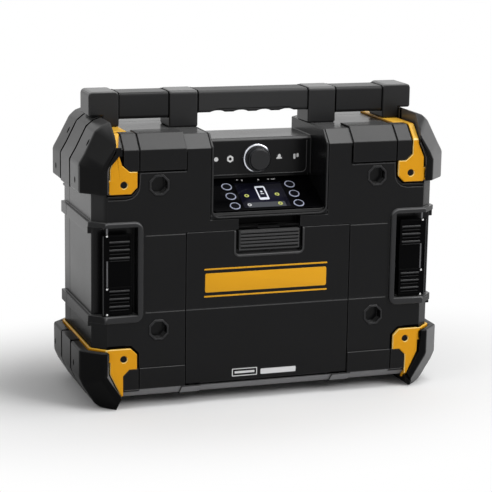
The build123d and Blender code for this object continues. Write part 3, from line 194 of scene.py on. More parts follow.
lamp_aim = Vector((0, 0, 0.15))
for name, place, size, power in (
        ("soft_box_right", (1.9, -1.9, 1.7), 1.3, 42.0),
        ("soft_box_left", (-2.4, -1.2, 1.9), 1.3, 7.0),
        ("soft_box_above", (0.65, -0.45, 2.3), 1.2, 24.0)):
    lamp = bpy.data.objects.new(name, bpy.data.lights.new(name, "AREA"))
    lamp.data.shape, lamp.data.size, lamp.data.energy = "SQUARE", size, power
    lamp.location = place
    lamp.rotation_euler = (lamp_aim - Vector(place)).to_track_quat("-Z", "Y").to_euler()
    bpy.context.scene.collection.objects.link(lamp)

# ---------------------------------------------------------------- case shells, console and door
# The shells, the console moulding and the door are black glass-filled nylon with a fine
# spark-eroded grain, and long screws from the rear hold the shells together. Handling polishes the
# edges and leaves them a little lighter, and that lighter colour is also a painted highlight. The
# upper faces carry painted light, and the case carries painted highlights and painted shade.
solids = frame["nodes"]
bodies = frame["record"]["behaviour"]["bodies"]


def body_of(node):
    """The body that a solid moves with."""
    return next(name for name, members in bodies.items() if node in members)


def fit_piece(mesh, name, body, finish, hides=()):
    """Puts a finished mesh in the scene, on the body that it moves with."""
    mesh.materials.clear()
    mesh.materials.append(finish)
    piece = bpy.data.objects.new(name, mesh)
    bpy.context.scene.collection.objects.link(piece)
    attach(piece, body)
    if hides:
        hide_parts(*hides)
    return piece


def smooth_over(mesh, turn):
    """Smooth shading, but for edges that turn more than the angle, in degrees."""
    mesh.shade_smooth()
    shaped = bmesh.new()
    shaped.from_mesh(mesh)
    for edge in shaped.edges:
        edge.smooth = edge.is_manifold and edge.calc_face_angle() < math.radians(turn)
    shaped.to_mesh(mesh)
    shaped.free()


def eased(node, slot, finish, *passes, turn=28.0, joined=True, reshape=None):
    """Replaces a solid by the same shape with its edges rounded.

    Each pass gives a width in millimetres, the steps across it and perhaps a test that picks its
    edges, out of those that turn more than the angle, in degrees. reshape moves corners first,
    from place to place in millimetres; nothing leaves the box that the solid then fills.
    """
    weld_gap, flat_turn, kept_sharp = 0.01 * MM, math.radians(0.4), 60.0
    mesh = solids[node].data.copy()
    if "custom_normal" in mesh.attributes:
        mesh.attributes.remove(mesh.attributes["custom_normal"])
    shaped = bmesh.new()
    shaped.from_mesh(mesh)
    bmesh.ops.remove_doubles(shaped, verts=shaped.verts, dist=weld_gap)
    if reshape:
        for vert in shaped.verts:
            vert.co = Vector(reshape(*(vert.co / MM))) * MM
    lows, highs = ([pick(vert.co[axis] for vert in shaped.verts) for axis in range(3)]
                   for pick in (min, max))
    if joined:
        bmesh.ops.dissolve_limit(shaped, angle_limit=flat_turn, verts=shaped.verts,
                                 edges=shaped.edges)
    for width, steps, *tests in passes:
        edges = [edge for edge in shaped.edges if edge.is_manifold
                 and edge.calc_face_angle() > math.radians(turn)
                 and all(picked(edge) for picked in tests)]
        bmesh.ops.bevel(shaped, geom=edges, offset=width * MM, offset_type="OFFSET",
                        segments=steps, profile=0.5, affect="EDGES", clamp_overlap=False)
    for vert in shaped.verts:
        vert.co = [min(max(place, low), high) for place, low, high in zip(vert.co, lows, highs)]
    shaped.to_mesh(mesh)
    shaped.free()
    smooth_over(mesh, kept_sharp)
    piece = fit_piece(mesh, node + "_finished", body_of(node), finish, (node,))
    weighted = piece.modifiers.new("face_weights", "WEIGHTED_NORMAL")
    weighted.keep_sharp = True


def parts_of(shading, vector):
    """The three coordinates of a place or a direction."""
    split = shading.add("ShaderNodeSeparateXYZ", sockets={0: vector}).socket.node
    return [Field(shading, axis) for axis in split.outputs]


def facing_of(shading):
    """The three parts of the direction that a surface faces, on the body that it moves with."""
    return parts_of(shading, shading.add("ShaderNodeTexCoord", output="Normal"))


def grain(shading, place, cell, depth):
    """Bump of a moulded grain: cells of the given size, in millimetres, on finer noise."""
    reach = 0.012
    cells = shading.add("ShaderNodeTexVoronoi", {"feature": "SMOOTH_F1"}, {
        "Vector": place, "Scale": 1000.0 / cell, "Smoothness": 0.6})
    fine = shading.add("ShaderNodeTexNoise", sockets={
        "Vector": place, "Scale": 2600.0 / cell, "Detail": 3.0})
    return shading.add("ShaderNodeBump", sockets={
        "Strength": depth, "Distance": reach * MM, "Height": cells * 0.7 + fine * 0.5})


def moulded(name, colour, edge_wear_highlight, rough, shine, cell, depth, edge=0.9, patch=0.18, painted_top_light=0.0,
            metal=0.0, zones=None, painted_shade=None):
    """A finish with a grain, a slow drift of its colour and polished edges, lighter in patches.

    The grain has a cell size, in millimetres, and a depth. edge is the width of the polish, in
    millimetres, where the edge colour shows; that colour stands partly for wear from handling and
    partly for a painted highlight along the edges. patch is the share by which the colour drifts.
    Upper faces take on a painted top light of the given grey, zones lays more tints over the
    colour, and a painted shade mask says where the surface is painted dark, as if in shade.
    """
    rim_gain, wear_gain, wear_loss = 9.0, 1.5, 0.25
    rough_drift, rough_wear = 0.12, 0.12
    shading = Shading(bpy.data.materials.new(name))
    place = shading.add("ShaderNodeTexCoord", output="Object")
    drift = shading.add("ShaderNodeTexNoise", sockets={
        "Vector": place, "Scale": 14.0, "Detail": 5.0, "Roughness": 0.55})
    scuffs = shading.add("ShaderNodeTexNoise", sockets={
        "Vector": place, "Scale": 190.0, "Detail": 6.0, "Roughness": 0.7})
    rounded = shading.add("ShaderNodeBevel", {"samples": 4}, {"Radius": edge * MM})
    flat = shading.add("ShaderNodeNewGeometry", output="Normal")
    agree = shading.add("ShaderNodeVectorMath", {"operation": "DOT_PRODUCT"}, {
        0: rounded, 1: flat}, "Value")
    # Edges are lighter in patches: partly wear from handling, partly a painted highlight.
    rim = ((1 - agree) * rim_gain).lowest(1.0)
    wear_highlight_mask = (rim * (scuffs * wear_gain - wear_loss).highest(0.0)).lowest(1.0)
    deep, pale = (tuple(part * share for part in colour) for share in (1 - patch, 1 + patch))
    tint = shading.blend(drift, deep, pale)
    # Painted light: faces that look up are coloured lighter, as if lit from above.
    if painted_top_light:
        upward = facing_of(shading)[2]
        tint = shading.blend(upward.ramp(0.25, 0.8) * (0.6 + drift * 0.5), tint, (painted_top_light,) * 3)
    if zones:
        tint = zones(shading, place, tint)
    surface = shading.add("ShaderNodeBsdfPrincipled", sockets={
        "Base Color": shading.blend(wear_highlight_mask, tint, edge_wear_highlight),
        "Roughness": (rough - rough_drift / 2) + drift * rough_drift - wear_highlight_mask * rough_wear,
        "Metallic": metal,
        "Specular IOR Level": shine,
        "Normal": grain(shading, place, cell, depth)})
    # Painted shade: where the mask is set, the surface is mixed towards black.
    if painted_shade:
        surface = shading.add("ShaderNodeMixShader", sockets={
            0: painted_shade(shading, place), 1: surface,
            2: shading.add("ShaderNodeBsdfDiffuse", sockets={"Color": (0.001, 0.001, 0.001, 1)})})
    shading.add("ShaderNodeOutputMaterial", sockets={0: surface})
    return shading.owner


ridge_middle, ridge_half = 158.0, 60.0
socket_x, socket_heights, socket_half = 130.0, (90.0, 255.0), 12.2


def painted_case_highlights(shading, place, tint):
    """Painted highlights and reflections on the ridges, the socket rims, the upper side walls and
    the slope under the case.
    """
    x, y, z = parts_of(shading, place)
    aside, _, upward = facing_of(shading)
    across, sideways = abs(x), abs(aside)
    ridge = y.past(-80.8, -82.2) * z.within(ridge_middle, ridge_half, 1.0)
    under = upward.ramp(-0.4, -0.6) * z.within(17.8, 5.2)
    lower, upper = (z.within(height, socket_half) for height in socket_heights)
    off_flats = y.past(-79.9, -79.7).highest(y.past(-80.3, -80.8))
    socket = (across.within(socket_x, socket_half) * lower.highest(upper) * y.past(-76, -79)
              * off_flats)
    high_side = sideways.ramp(0.6, 0.9) * z.past(110, 290) * across.past(190, 194)
    for mask, lighter in ((high_side, (0.080, 0.080, 0.081)),
                          (ridge, (0.024, 0.024, 0.025)),
                          (ridge * upward.ramp(0.1, 0.6), (0.11, 0.11, 0.112)),
                          (socket, (0.018, 0.018, 0.019)),
                          (under, (0.17, 0.17, 0.175))):
        tint = shading.blend(mask, tint, lighter)
    return tint


def painted_case_shade(shading, place):
    """Painted shade on the side walls near the foot, in the bracket seats, over the door's slide
    and on the slope below the deck."""
    wall_shade, seat_shade, recess_shade, lip_shade = 0.62, 0.9, 0.75, 0.75
    x, y, z = parts_of(shading, place)
    across, sideways = abs(x), abs(facing_of(shading)[0])
    low_wall = sideways.ramp(0.6, 0.9) * z.past(150, 80) * wall_shade
    seat_heights = z.within(266.0, 22.5).highest(z.past(75, 74))
    seat = y.within(-78.3, 1.2) * across.within(171.0, 19.0) * seat_heights * seat_shade
    recess = (across.past(39, 37) * z.within(206.0, 8.5, 1.0) * y.past(-79.5, -77.5)
              * y.within(-65.0, 15.5) * recess_shade)
    deck_lip = across.past(69, 67) * z.within(216.5, 4.5) * y.within(-78.4, 1.5) * lip_shade
    return low_wall.highest(seat).highest(recess).highest(deck_lip)


shell_tint, shell_wear_highlight = (0.0046, 0.0046, 0.0050), (0.085, 0.085, 0.087)
shell_grain = {"rough": 0.25, "shine": 0.13, "cell": 0.55, "depth": 0.35}
case_black = moulded("case_black", shell_tint, shell_wear_highlight, **shell_grain, painted_top_light=0.098,
                     zones=painted_case_highlights, painted_shade=painted_case_shade)
shoulder_black = moulded("shoulder_black", shell_tint, shell_wear_highlight, **shell_grain, painted_top_light=0.070,
                         painted_shade=painted_case_shade)
shell_edge, ridge_edge = 0.7, 1.9


def on_ridge(edge):
    """The outer edges of the ridges round the side pockets, on the front."""
    return all(vert.co.y < -83.5 * MM and 96 * MM < vert.co.z < 219 * MM for vert in edge.verts)


def behind_ridges(edge):
    """The edges of the front shell that lie further back than its ridges."""
    return edge.verts[0].co.y > -81.9 * MM


eased("front_housing", "case_plastic", case_black,
      (ridge_edge, 4, on_ridge), (shell_edge, 2, behind_ridges), joined=False)
eased("rear_housing", "case_plastic", case_black, (shell_edge, 2), joined=False)
eased("console_housing", "case_plastic", case_black, (1.2, 3), joined=False)
eased("door_panel", "case_plastic", case_black, (0.8, 2))
for side in ("left", "right"):
    eased("shoulder_" + side, "case_plastic", shoulder_black, (1.0, 3))
    eased("base_block_" + side, "case_plastic", case_black, (0.6, 2))


# ---------------------------------------------------------------- bars on the door
# Where a maker would put a name, the door carries plain bars: an amber band between two thin
# lines in low relief, and lower down a pale outlined plate and a pale bar. All are moulded with
# the door and painted.
def oblong(x, z, width, height, radius, steps=4):
    """Outline of a rounded rectangle, in millimetres."""
    points = []
    for turn, (side, end) in enumerate(((1, 1), (-1, 1), (-1, -1), (1, -1))):
        for step in range(steps + 1):
            angle = math.pi / 2 * (turn + step / steps)
            points.append((x + side * (width / 2 - radius) + radius * math.cos(angle),
                           z + end * (height / 2 - radius) + radius * math.sin(angle)))
    return points


def raised(name, outlines, face, body, finish, height, lift=0.0, soft=0.0):
    """Shapes standing up from a flat face, with their upper edges rounded where soft says so.

    The face is a place on it and its directions along and up. An outline in two parts is a ring
    round a hole. Height, lift and soft are in millimetres.
    """
    origin, along, up = face
    outward = along.cross(up)
    shaped = bmesh.new()

    def corners(outline, stand):
        return [shaped.verts.new(origin + (along * a + up * b + outward * stand) * MM)
                for a, b in outline]

    def wall(low, high):
        for at in range(len(low)):
            after = (at + 1) % len(low)
            shaped.faces.new((low[at], low[after], high[after], high[at]))

    for outline in outlines:
        if isinstance(outline, tuple):
            low, high, hole_low, hole_high = (corners(part, stand) for part in outline
                                              for stand in (lift, lift + height))
            wall(low, high)
            wall(hole_high, hole_low)
            wall(high, hole_high)
            wall(hole_low, low)
        else:
            low, high = corners(outline, lift), corners(outline, lift + height)
            wall(low, high)
            shaped.faces.new(high)
            shaped.faces.new(low[::-1])
    bmesh.ops.recalc_face_normals(shaped, faces=shaped.faces)
    if soft:
        hair, sharp = 0.001 * MM, 1.0  # in metres and in radians
        top = (origin + outward * (lift + height) * MM).dot(outward) - hair
        upper_edges = [edge for edge in shaped.edges if edge.calc_face_angle(0) > sharp
                       and all(vert.co.dot(outward) > top for vert in edge.verts)]
        bmesh.ops.bevel(shaped, geom=upper_edges, offset=soft * MM, segments=3, profile=0.5,
                        affect="EDGES", clamp_overlap=False)
    mesh = bpy.data.meshes.new(name)
    shaped.to_mesh(mesh)
    shaped.free()
    smooth_over(mesh, 40.0)
    fit_piece(mesh, name, body, finish)


front_face = Vector((0, -80 * MM, 0)), across_x, up_z
band_amber = moulded("band_amber", (0.66, 0.31, 0.004), (0.80, 0.50, 0.12), rough=0.36, shine=0.2,
                     cell=0.6, depth=0.1, edge=0.5, patch=0.05)
raised("door_bars", [oblong(-3.0, 156.2, 148.0, 1.8, 0.5), oblong(-3.0, 140.5, 146.0, 22.0, 2.0, 6),
                     oblong(-3.0, 124.8, 148.0, 1.8, 0.5)],
       front_face, "door", band_amber, height=0.7, soft=0.3)
plate_white = moulded("plate_white", (0.60, 0.60, 0.61), (0.45, 0.45, 0.45), rough=0.45, shine=0.3,
                      cell=0.5, depth=0.1, patch=0.06)
plate_x, plate_z = -27.3, 33.0
raised("door_plate_lines", [(oblong(plate_x, plate_z, 30.4, 9.2, 0.8),
                             oblong(plate_x, plate_z, 28.4, 7.2, 0.4)),
                            oblong(plate_x, plate_z, 24.0, 2.6, 0.4),
                            oblong(13.6, 32.0, 43.0, 6.4, 0.9)],
       front_face, "door", plate_white, height=0.15)


# ---------------------------------------------------------------- rims
# Narrow raised rims run round the door's slide, the console's opening and the knob panel. Each is
# moulded in one piece with the plastic that it stands on, and coloured lighter as a painted
# highlight.
def bent_strip(points, width):
    """Outline of a strip of even width along a run of points."""
    left, right = [], []
    for at, point in enumerate(points):
        before = Vector(points[max(at - 1, 0)])
        after = Vector(points[min(at + 1, len(points) - 1)])
        way = (after - before).normalized()
        side = Vector((-way.y, way.x)) * width / 2
        left.append((point[0] + side.x, point[1] + side.y))
        right.append((point[0] - side.x, point[1] - side.y))
    return left + right[::-1]


def rounded_u(half, top, bottom, radius):
    """Run of points down one side, round the foot and up the other."""
    steps = 6
    angles = [math.pi / 2 * step / steps for step in range(steps + 1)]
    foot = [(half - radius + radius * math.sin(angle), bottom + radius - radius * math.cos(angle))
            for angle in angles]
    return [(-half, top)] + [(-a, b) for a, b in foot[::-1]] + foot + [(half, top)]


knob_panel = Vector((0, -30 * MM, 0)), across_x, up_z
knob_panel_edge = [(61.5, 291.0), (61.5, 260.0), (60.6, 256.4), (58.0, 254.4), (54.5, 253.8),
                   (-66.0, 253.8)]
rim_highlight = moulded("rim_highlight", (0.028, 0.028, 0.029), (0.12, 0.12, 0.12), rough=0.3, shine=0.2,
                    cell=0.5, depth=0.2, edge=0.5, painted_top_light=0.22)
raised("door_latch_rim",
       [bent_strip(rounded_u(half=41.2, top=198.5, bottom=169.6, radius=6.0), 2.2)],
       front_face, "door", rim_highlight, height=0.9, lift=-0.1, soft=0.5)
rim_soft_highlight = moulded("rim_soft_highlight", (0.020, 0.020, 0.021), (0.09, 0.09, 0.09), rough=0.3, shine=0.16,
                  cell=0.5, depth=0.2, edge=0.5, painted_top_light=0.07)
raised("console_rim",
       [bent_strip(rounded_u(half=68.4, top=296.0, bottom=215.0, radius=9.0), 1.5)],
       front_face, "case", rim_soft_highlight, height=0.8, lift=-0.1, soft=0.45)
raised("knob_panel_rim", [bent_strip(knob_panel_edge, 1.0)],
       knob_panel, "case", rim_highlight, height=0.5, lift=-0.1, soft=0.25)

# ---------------------------------------------------------------- lips and grooves of the front
# Narrow moulded lips stand under the shoulders and round the bracket seats, in a lighter grey
# that paints the highlight along them, each with the shadow gap that parts the mouldings beside
# it, painted as a thin dark strip. More such painted shadows run at the shoulders' ends, at the
# foot and round the sockets.
# Painted shadow: the near-black of the thin strips and sheets put in the gaps between parts.
gap_black = moulded("gap_black", (0.0012, 0.0012, 0.0012), (0.002, 0.002, 0.002), rough=0.8,
                    shine=0.0, cell=0.5, depth=0.1)
# Painted highlight: the lips are coloured lighter than the case plastic beside them.
lip_highlight = moulded("lip_highlight", (0.030, 0.030, 0.031), (0.09, 0.09, 0.09), rough=0.3, shine=0.16,
                    cell=0.5, depth=0.2, edge=0.5, painted_top_light=0.12)


def mirrored_outlines(outlines):
    """The outlines with their mirror images on the left of the radio."""
    return outlines + [[(-a, b) for a, b in outline[::-1]] for outline in outlines]


def grooves(name, outlines, face, height=0.16):
    """Painted shadow in gaps: each a thin dark strip that lies almost flush with the face."""
    raised(name, outlines, face, "case", gap_black, height=height, lift=-0.1)


def polygon(x, z, radius, corners, start=0.0):
    """Outline of an even polygon from its first corner's angle on; with many corners, a disc."""
    angles = [start + 2 * math.pi * corner / corners for corner in range(corners)]
    return [(x + radius * math.cos(angle), z + radius * math.sin(angle)) for angle in angles]


def ring(x, z, outer, inner, corners, start=0.0):
    """Outline of an even polygon round a smaller one."""
    return polygon(x, z, outer, corners, start), polygon(x, z, inner, corners, start)


upper_seat = [(151.6, 270.0), (151.9, 261.0), (152.8, 251.0), (155.6, 245.6), (160.6, 241.4),
              (168.0, 239.6), (188.4, 239.6)]
lower_seat = [(188.4, 73.6), (170.0, 73.6), (160.6, 71.0), (156.2, 66.0), (154.6, 58.0),
              (154.6, 26.0)]
below_upper_seat = [(a - 0.9, b + 1.4) for a, b in upper_seat[3:]]
shoulder_end = 98.3
raised("front_lips", mirrored_outlines([oblong(125.2, 268.9, 53.0, 1.2, 0.4),
                                        bent_strip(upper_seat, 1.1)]),
       front_face, "case", lip_highlight, height=0.6, lift=-0.1, soft=0.3)
grooves("front_grooves", mirrored_outlines([
    oblong(125.5, 270.6, 55.0, 1.5, 0.4), bent_strip(below_upper_seat, 1.0),
    bent_strip(lower_seat, 1.5), bent_strip([(shoulder_end, 270.4), (shoulder_end, 290.8)], 1.3)]),
        front_face)
shoulder_slope = Vector((0, -80, 291)) * MM, across_x, Vector((0, 1, 1)).normalized()
grooves("shoulder_end_grooves", mirrored_outlines([
    bent_strip([(shoulder_end, -0.2), (shoulder_end, 25.0)], 1.3)]), shoulder_slope)
foot_slope = Vector((0, -69.5, 12.5)) * MM, across_x, Vector((0, -1, 1)).normalized()
grooves("foot_grooves", mirrored_outlines([
    bent_strip([(154.6, 0.4), (154.6, 14.6)], 2.2), bent_strip([(104.0, 0.4), (99.8, 14.6)], 1.8)]),
        foot_slope, height=0.2)
octagon_start = math.pi / 8
outer_reach, inner_reach = (flats / 2 / math.cos(octagon_start) for flats in (24.6, 22.9))
grooves("socket_grooves", [ring(side * socket_x, height, outer_reach, inner_reach, 8, octagon_start)
                           for side in (-1, 1) for height in socket_heights], front_face)

# ---------------------------------------------------------------- latches
# The door's slide and the two side latches are moulded in a denser black and ribbed for the
# fingers. The slide runs in the door against a spring, and each side latch swings on a steel pin.
trim_black = moulded("trim_black", (0.0012, 0.0012, 0.0014), (0.012, 0.012, 0.012), rough=0.38,
                     shine=0.025, cell=0.5, depth=0.3)


def painted_rib_highlight(shading, place, tint):
    """Painted highlight along the ribs and the frame of the slide, dark between them."""
    x, y, z = parts_of(shading, place)
    slide_frame = abs(x).past(34.6, 35.0).highest(z.past(178.0, 177.4))
    ribs = y.past(-80.8, -81.3)
    return shading.blend(ribs.highest(slide_frame), tint, (0.046, 0.046, 0.047))


def tongue_shade(shading, place):
    """Dark on the tongue that stands above the slide."""
    return parts_of(shading, place)[2].past(198.6, 198.9)


def spread_ribs(x, y, z):
    """The ribs of the slide stand a little further apart than their solid's."""
    ribs_middle, spread = 188.9, 1.22
    on_ribs = y < -80.4 and 181.0 < z < 197.0
    return x, y, ribs_middle + (z - ribs_middle) * spread if on_ribs else z


rib_black = moulded("rib_black", (0.0012, 0.0012, 0.0013), (0.12, 0.12, 0.122), rough=0.34,
                    shine=0.10, cell=0.5, depth=0.3, edge=0.4, painted_top_light=0.10, zones=painted_rib_highlight,
                    painted_shade=tongue_shade)
eased("door_latch", "trim_plastic", rib_black, (0.35, 2), reshape=spread_ribs)
# Painted light and shade: the upper rib of each pair and the rail are a lit copy of the latch
# plastic, and the lower ribs are a shaded copy.
latch_grey = moulded("latch_grey", (0.024, 0.024, 0.025), (0.10, 0.10, 0.10), rough=0.34,
                     shine=0.14, cell=0.5, depth=0.3, edge=0.4, painted_top_light=0.14)
latch_dim = moulded("latch_dim", (0.010, 0.010, 0.0105), (0.05, 0.05, 0.05), rough=0.36,
                    shine=0.08, cell=0.5, depth=0.3, edge=0.4)
pin_bright = moulded("pin_bright", (0.62, 0.62, 0.62), (0.8, 0.8, 0.8), rough=0.3, shine=0.5,
                     cell=0.3, depth=0.05, metal=0.6)
rib_x, rail_x, pin_x = 175.4, 193.9, 189.6
rib_tops = (119.8, 128.6, 137.4, 175.0, 184.0, 193.0)
rib_feet = (115.8, 124.6, 133.6, 171.9, 179.6, 188.8)
pin_heights = (110.9, 140.2, 200.2)
for side, way in (("left", -1), ("right", 1)):
    eased("side_latch_" + side, "trim_plastic", trim_black, (0.4, 2))
    latch = "side_latch_%s_body" % side
    rail = oblong(way * rail_x, 155.6, 1.1, 90.0, 0.5)
    raised("latch_%s_ribs" % side,
           [oblong(way * rib_x, height, 23.4, 1.9, 0.8) for height in rib_tops] + [rail],
           front_face, latch, latch_grey, height=1.4, lift=-0.9, soft=0.5)
    raised("latch_%s_low_ribs" % side,
           [oblong(way * rib_x, height, 22.6, 1.1, 0.5) for height in rib_feet],
           front_face, latch, latch_dim, height=1.2, lift=-0.9, soft=0.4)
    raised("latch_%s_pin_ends" % side,
           [polygon(way * pin_x, height, 1.3, 12) for height in pin_heights],
           front_face, latch, pin_bright, height=1.3, lift=-1.0, soft=0.5)

# ---------------------------------------------------------------- bumpers
# Thick mouldings in soft matt black rubber with generous radii, which wrap the four long corners
# of the case. A small lip of the upper left one covers its bracket's leg at the front.
slot_places = ((46.5, 259.5), (-48.0, 259.5), (36.0, 302.0), (-58.0, 302.0), (57.0, 47.0),
               (-37.0, 47.0))
slot_half_width, slot_half_height = 2.6, 3.6
slot_clear, slot_dark = 1.2, 0.8
groove_y, groove_half = 23.0, 2.6


def painted_side_light(shading, place, tint):
    """Painted light and reflection: paler on the outer sides, most of all towards the front."""
    rear_share = 0.45
    aside = facing_of(shading)[0]
    _, y, z = parts_of(shading, place)
    forward = rear_share + y.past(28, 18) * (1 - rear_share)
    outer = abs(aside).ramp(0.74, 0.95) * z.past(180, 240) * forward
    tint = shading.blend(outer, tint, (0.10, 0.10, 0.101))
    return shading.blend(aside.ramp(0.35, 0.7), tint, (0.13, 0.13, 0.131))


def slot_and_groove_shade(shading, place):
    """Painted shade in the two grooves round the bumper and in the small slots on its outer
    sides.
    """
    x, y, z = parts_of(shading, place)
    across = abs(x)
    dark = abs(y).within(groove_y, groove_half, 0.4) * across.past(150, 152)
    for slot_y, slot_z in slot_places:
        away = (((y - slot_y * MM) * (1 / slot_half_width)) ** 2.0
                + ((z - slot_z * MM) * (1 / slot_half_height)) ** 2.0)
        inside = away.ramp(slot_clear * MM * MM, slot_dark * MM * MM)
        dark = dark.highest(inside * across.past(196, 198))
    return dark


upper_bumper_black = moulded("upper_bumper_black", (0.0026, 0.0026, 0.0028), (0.012, 0.012, 0.012),
                             rough=0.30, shine=0.09, cell=0.8, depth=0.45, painted_top_light=0.06,
                             zones=painted_side_light, painted_shade=slot_and_groove_shade)
lower_bumper_black = moulded("lower_bumper_black", (0.0022, 0.0022, 0.0024), (0.012, 0.012, 0.012),
                             rough=0.32, shine=0.05, cell=0.8, depth=0.45, painted_top_light=0.04,
                             zones=painted_side_light, painted_shade=slot_and_groove_shade)
bumper_inner_x, bumper_flat_y = 181.8, 80.0
lean_at_height = {291.0: 1.0, 299.4: 1.5, 306.1: 1.5, 311.3: 1.5}


def moved_out(x, by):
    """A place further from the middle of the radio, on its own side."""
    return math.copysign(abs(x) + by, x)


def lipped(x, y, z):
    """The upper bumpers' inner edges lean in a little over the brackets beside the bevel."""
    lean = lean_at_height.get(round(z, 1), 0.0)
    on_inner_edge = abs(abs(x) - bumper_inner_x) < 0.1
    near_end = abs(y) > 77.0 and abs(abs(y) - bumper_flat_y) > 0.1
    return moved_out(x, -lean) if lean and on_inner_edge and near_end else x, y, z


def outer_bumper_edge(edge):
    """Edges on the outside of a bumper, away from its grooves."""
    middle = (edge.verts[0].co + edge.verts[1].co) / 2
    along = abs(edge.verts[0].co.y - edge.verts[1].co.y)
    in_groove = 21.0 * MM < abs(middle.y) < 25.0 * MM and along < 3.5 * MM
    inside = abs(middle.x) < 183 * MM
    on_groove_wall = all(any(abs(abs(vert.co.y) - wall * MM) < 0.1 * MM for wall in (21.5, 24.5))
                         for vert in edge.verts)
    return not in_groove and not inside and not on_groove_wall


for level_name, finish in (("upper", upper_bumper_black), ("lower", lower_bumper_black)):
    for side in ("left", "right"):
        eased("bumper_%s_%s" % (level_name, side), "bumper_rubber", finish,
              (2.6, 4, outer_bumper_edge), turn=20.0, reshape=lipped)
lip_face = Vector((0, -83.2 * MM, 0)), across_x, up_z
raised("bumper_lip_left", [[(-188.9, 278.5), (-185.8, 280.0), (-180.2, 286.0), (-176.2, 291.5),
                            (-174.8, 295.5), (-174.8, 299.0), (-181.4, 299.2), (-184.0, 291.8),
                            (-187.4, 285.2)]],
       lip_face, "case", upper_bumper_black, height=2.79)

# ---------------------------------------------------------------- amber brackets
# Pressed metal corner brackets, painted amber, each held at the front by one recessed screw.
# Their legs lie behind the bumpers' inner edges.
leg_inner_x, plate_inner_x = 171.5, 154.0
leg_gap, leg_taper, plate_gap = 1.2, 7.1, 6.0


def slim_leg(x, y, z):
    """The upper legs leave a narrow gap beside the shoulders, their top plates are narrower, and
    the front left one tapers behind its bumper."""
    if abs(abs(x) - leg_inner_x) < 0.1 and z > 270.0 and abs(y) > 48.0:
        tapered = x < 0 and y < 0 and 290.0 < z < 300.0
        return moved_out(x, leg_taper if tapered else leg_gap), y, z
    if abs(abs(x) - plate_inner_x) < 0.1 and z > 305.0:
        return moved_out(x, plate_gap), y, z
    return x, y, z


def amber_edge_light(shading, place, tint):
    """Painted highlight on the edges of the plates that look up or left, painted shade on those
    that look down or right, and painted light where a face looks up."""
    y = parts_of(shading, place)[1]
    aside, _, upward = facing_of(shading)
    edge = y.past(-82.95, -82.7) * y.past(-81.2, -81.4)
    toward = upward - aside
    tint = shading.blend(upward.ramp(0.3, 0.7), tint, (0.86, 0.48, 0.05))
    tint = shading.blend(edge * toward.ramp(0.1, 0.5), tint, (0.95, 0.70, 0.26))
    return shading.blend(edge * toward.ramp(-0.1, -0.5), tint, (0.16, 0.055, 0.003))


amber_paint = moulded("amber_paint", (0.64, 0.283, 0.003), (0.86, 0.56, 0.16), rough=0.34,
                      shine=0.15, cell=0.7, depth=0.12, edge=0.7, patch=0.05, zones=amber_edge_light)
for level_name in ("upper", "lower"):
    for side in ("left", "right"):
        eased("bracket_%s_%s" % (level_name, side), "bracket_amber", amber_paint, (1.1, 3),
              reshape=slim_leg)
screw_black = moulded("screw_black", (0.004, 0.004, 0.004), (0.05, 0.05, 0.05), rough=0.35,
                      shine=0.1, cell=0.4, depth=0.1)
for node in ("bracket_screws", "case_screws"):
    solids[node].data.materials.clear()
    solids[node].data.materials.append(screw_black)

# ---------------------------------------------------------------- handle
# Two middle posts stand on the case and two end posts on the bumpers. Nylon bars and a soft rubber
# grip with finger waves run between them on a steel tube, with a shadow gap at each joint, painted
# as a thin dark sheet.
handle_black = moulded("handle_black", (0.014, 0.014, 0.0145), (0.10, 0.10, 0.10), rough=0.32,
                       shine=0.20, cell=0.6, depth=0.35, edge=1.4, painted_top_light=0.16)
bar_black = moulded("bar_black", (0.011, 0.011, 0.0115), (0.07, 0.07, 0.07), rough=0.34,
                    shine=0.17, cell=0.6, depth=0.35, painted_top_light=0.03)
grip_black = moulded("grip_black", (0.019, 0.019, 0.0195), (0.06, 0.06, 0.06), rough=0.5,
                     shine=0.2, cell=1.1, depth=0.6, painted_top_light=0.07)


def along_bar(edge):
    """The long edges of a side bar."""
    return abs(edge.verts[0].co.x - edge.verts[1].co.x) > 20 * MM


def along_grip(edge):
    """The edges that follow the grip and its finger waves, and none across it."""
    start, end = (vert.co for vert in edge.verts)
    return abs(start.y - end.y) < 1 * MM and abs(start.x - end.x) > 0.01 * MM


for side in ("left", "right"):
    eased("handle_end_post_" + side, "handle_plastic", handle_black, (2.5, 4))
    eased("handle_mid_post_" + side, "handle_plastic", handle_black, (2.2, 4))
    eased("handle_side_bar_" + side, "handle_plastic", bar_black, (2.6, 4, along_bar))
eased("handle_grip", "grip_rubber", grip_black, (3.0, 4, along_grip))
bar_section = oblong(1.5, 335.0, 37.8, 30.7, 4.0)
grip_section = oblong(1.5, 337.3, 37.8, 26.2, 4.0)
gap_width = 1.0
for name, joint_x, section in (("end_post", 159.2, bar_section), ("mid_post", 101.0, bar_section),
                               ("grip_end", 66.0, grip_section)):
    for side, start in (("left", -joint_x - gap_width), ("right", joint_x)):
        across_bar = Vector((start * MM, 0, 0)), Vector((0, 1, 0)), up_z
        raised("%s_gap_%s" % (name, side), [section], across_bar, "case",
               gap_black, height=gap_width)

# ---------------------------------------------------------------- display deck and screen
# A glossy black moulded deck slopes up to the knob panel, and the screen shows through a window of
# dark glass that is set in its middle.
deck_black = moulded("deck_black", (0.0012, 0.0012, 0.0016), (0.006, 0.006, 0.007), rough=0.12,
                     shine=0.03, cell=0.6, depth=0.03)


def faded_rim(shading, place, tint):
    """The glass is darker towards its upper end and its sides."""
    side_fade, upper_fade = 0.55, 0.75
    x, _, z = parts_of(shading, place)
    sides = abs(x).past(17, 25) * side_fade
    return shading.blend(sides.highest(z.past(233, 242) * upper_fade), tint,
                         (0.0025, 0.0025, 0.004))


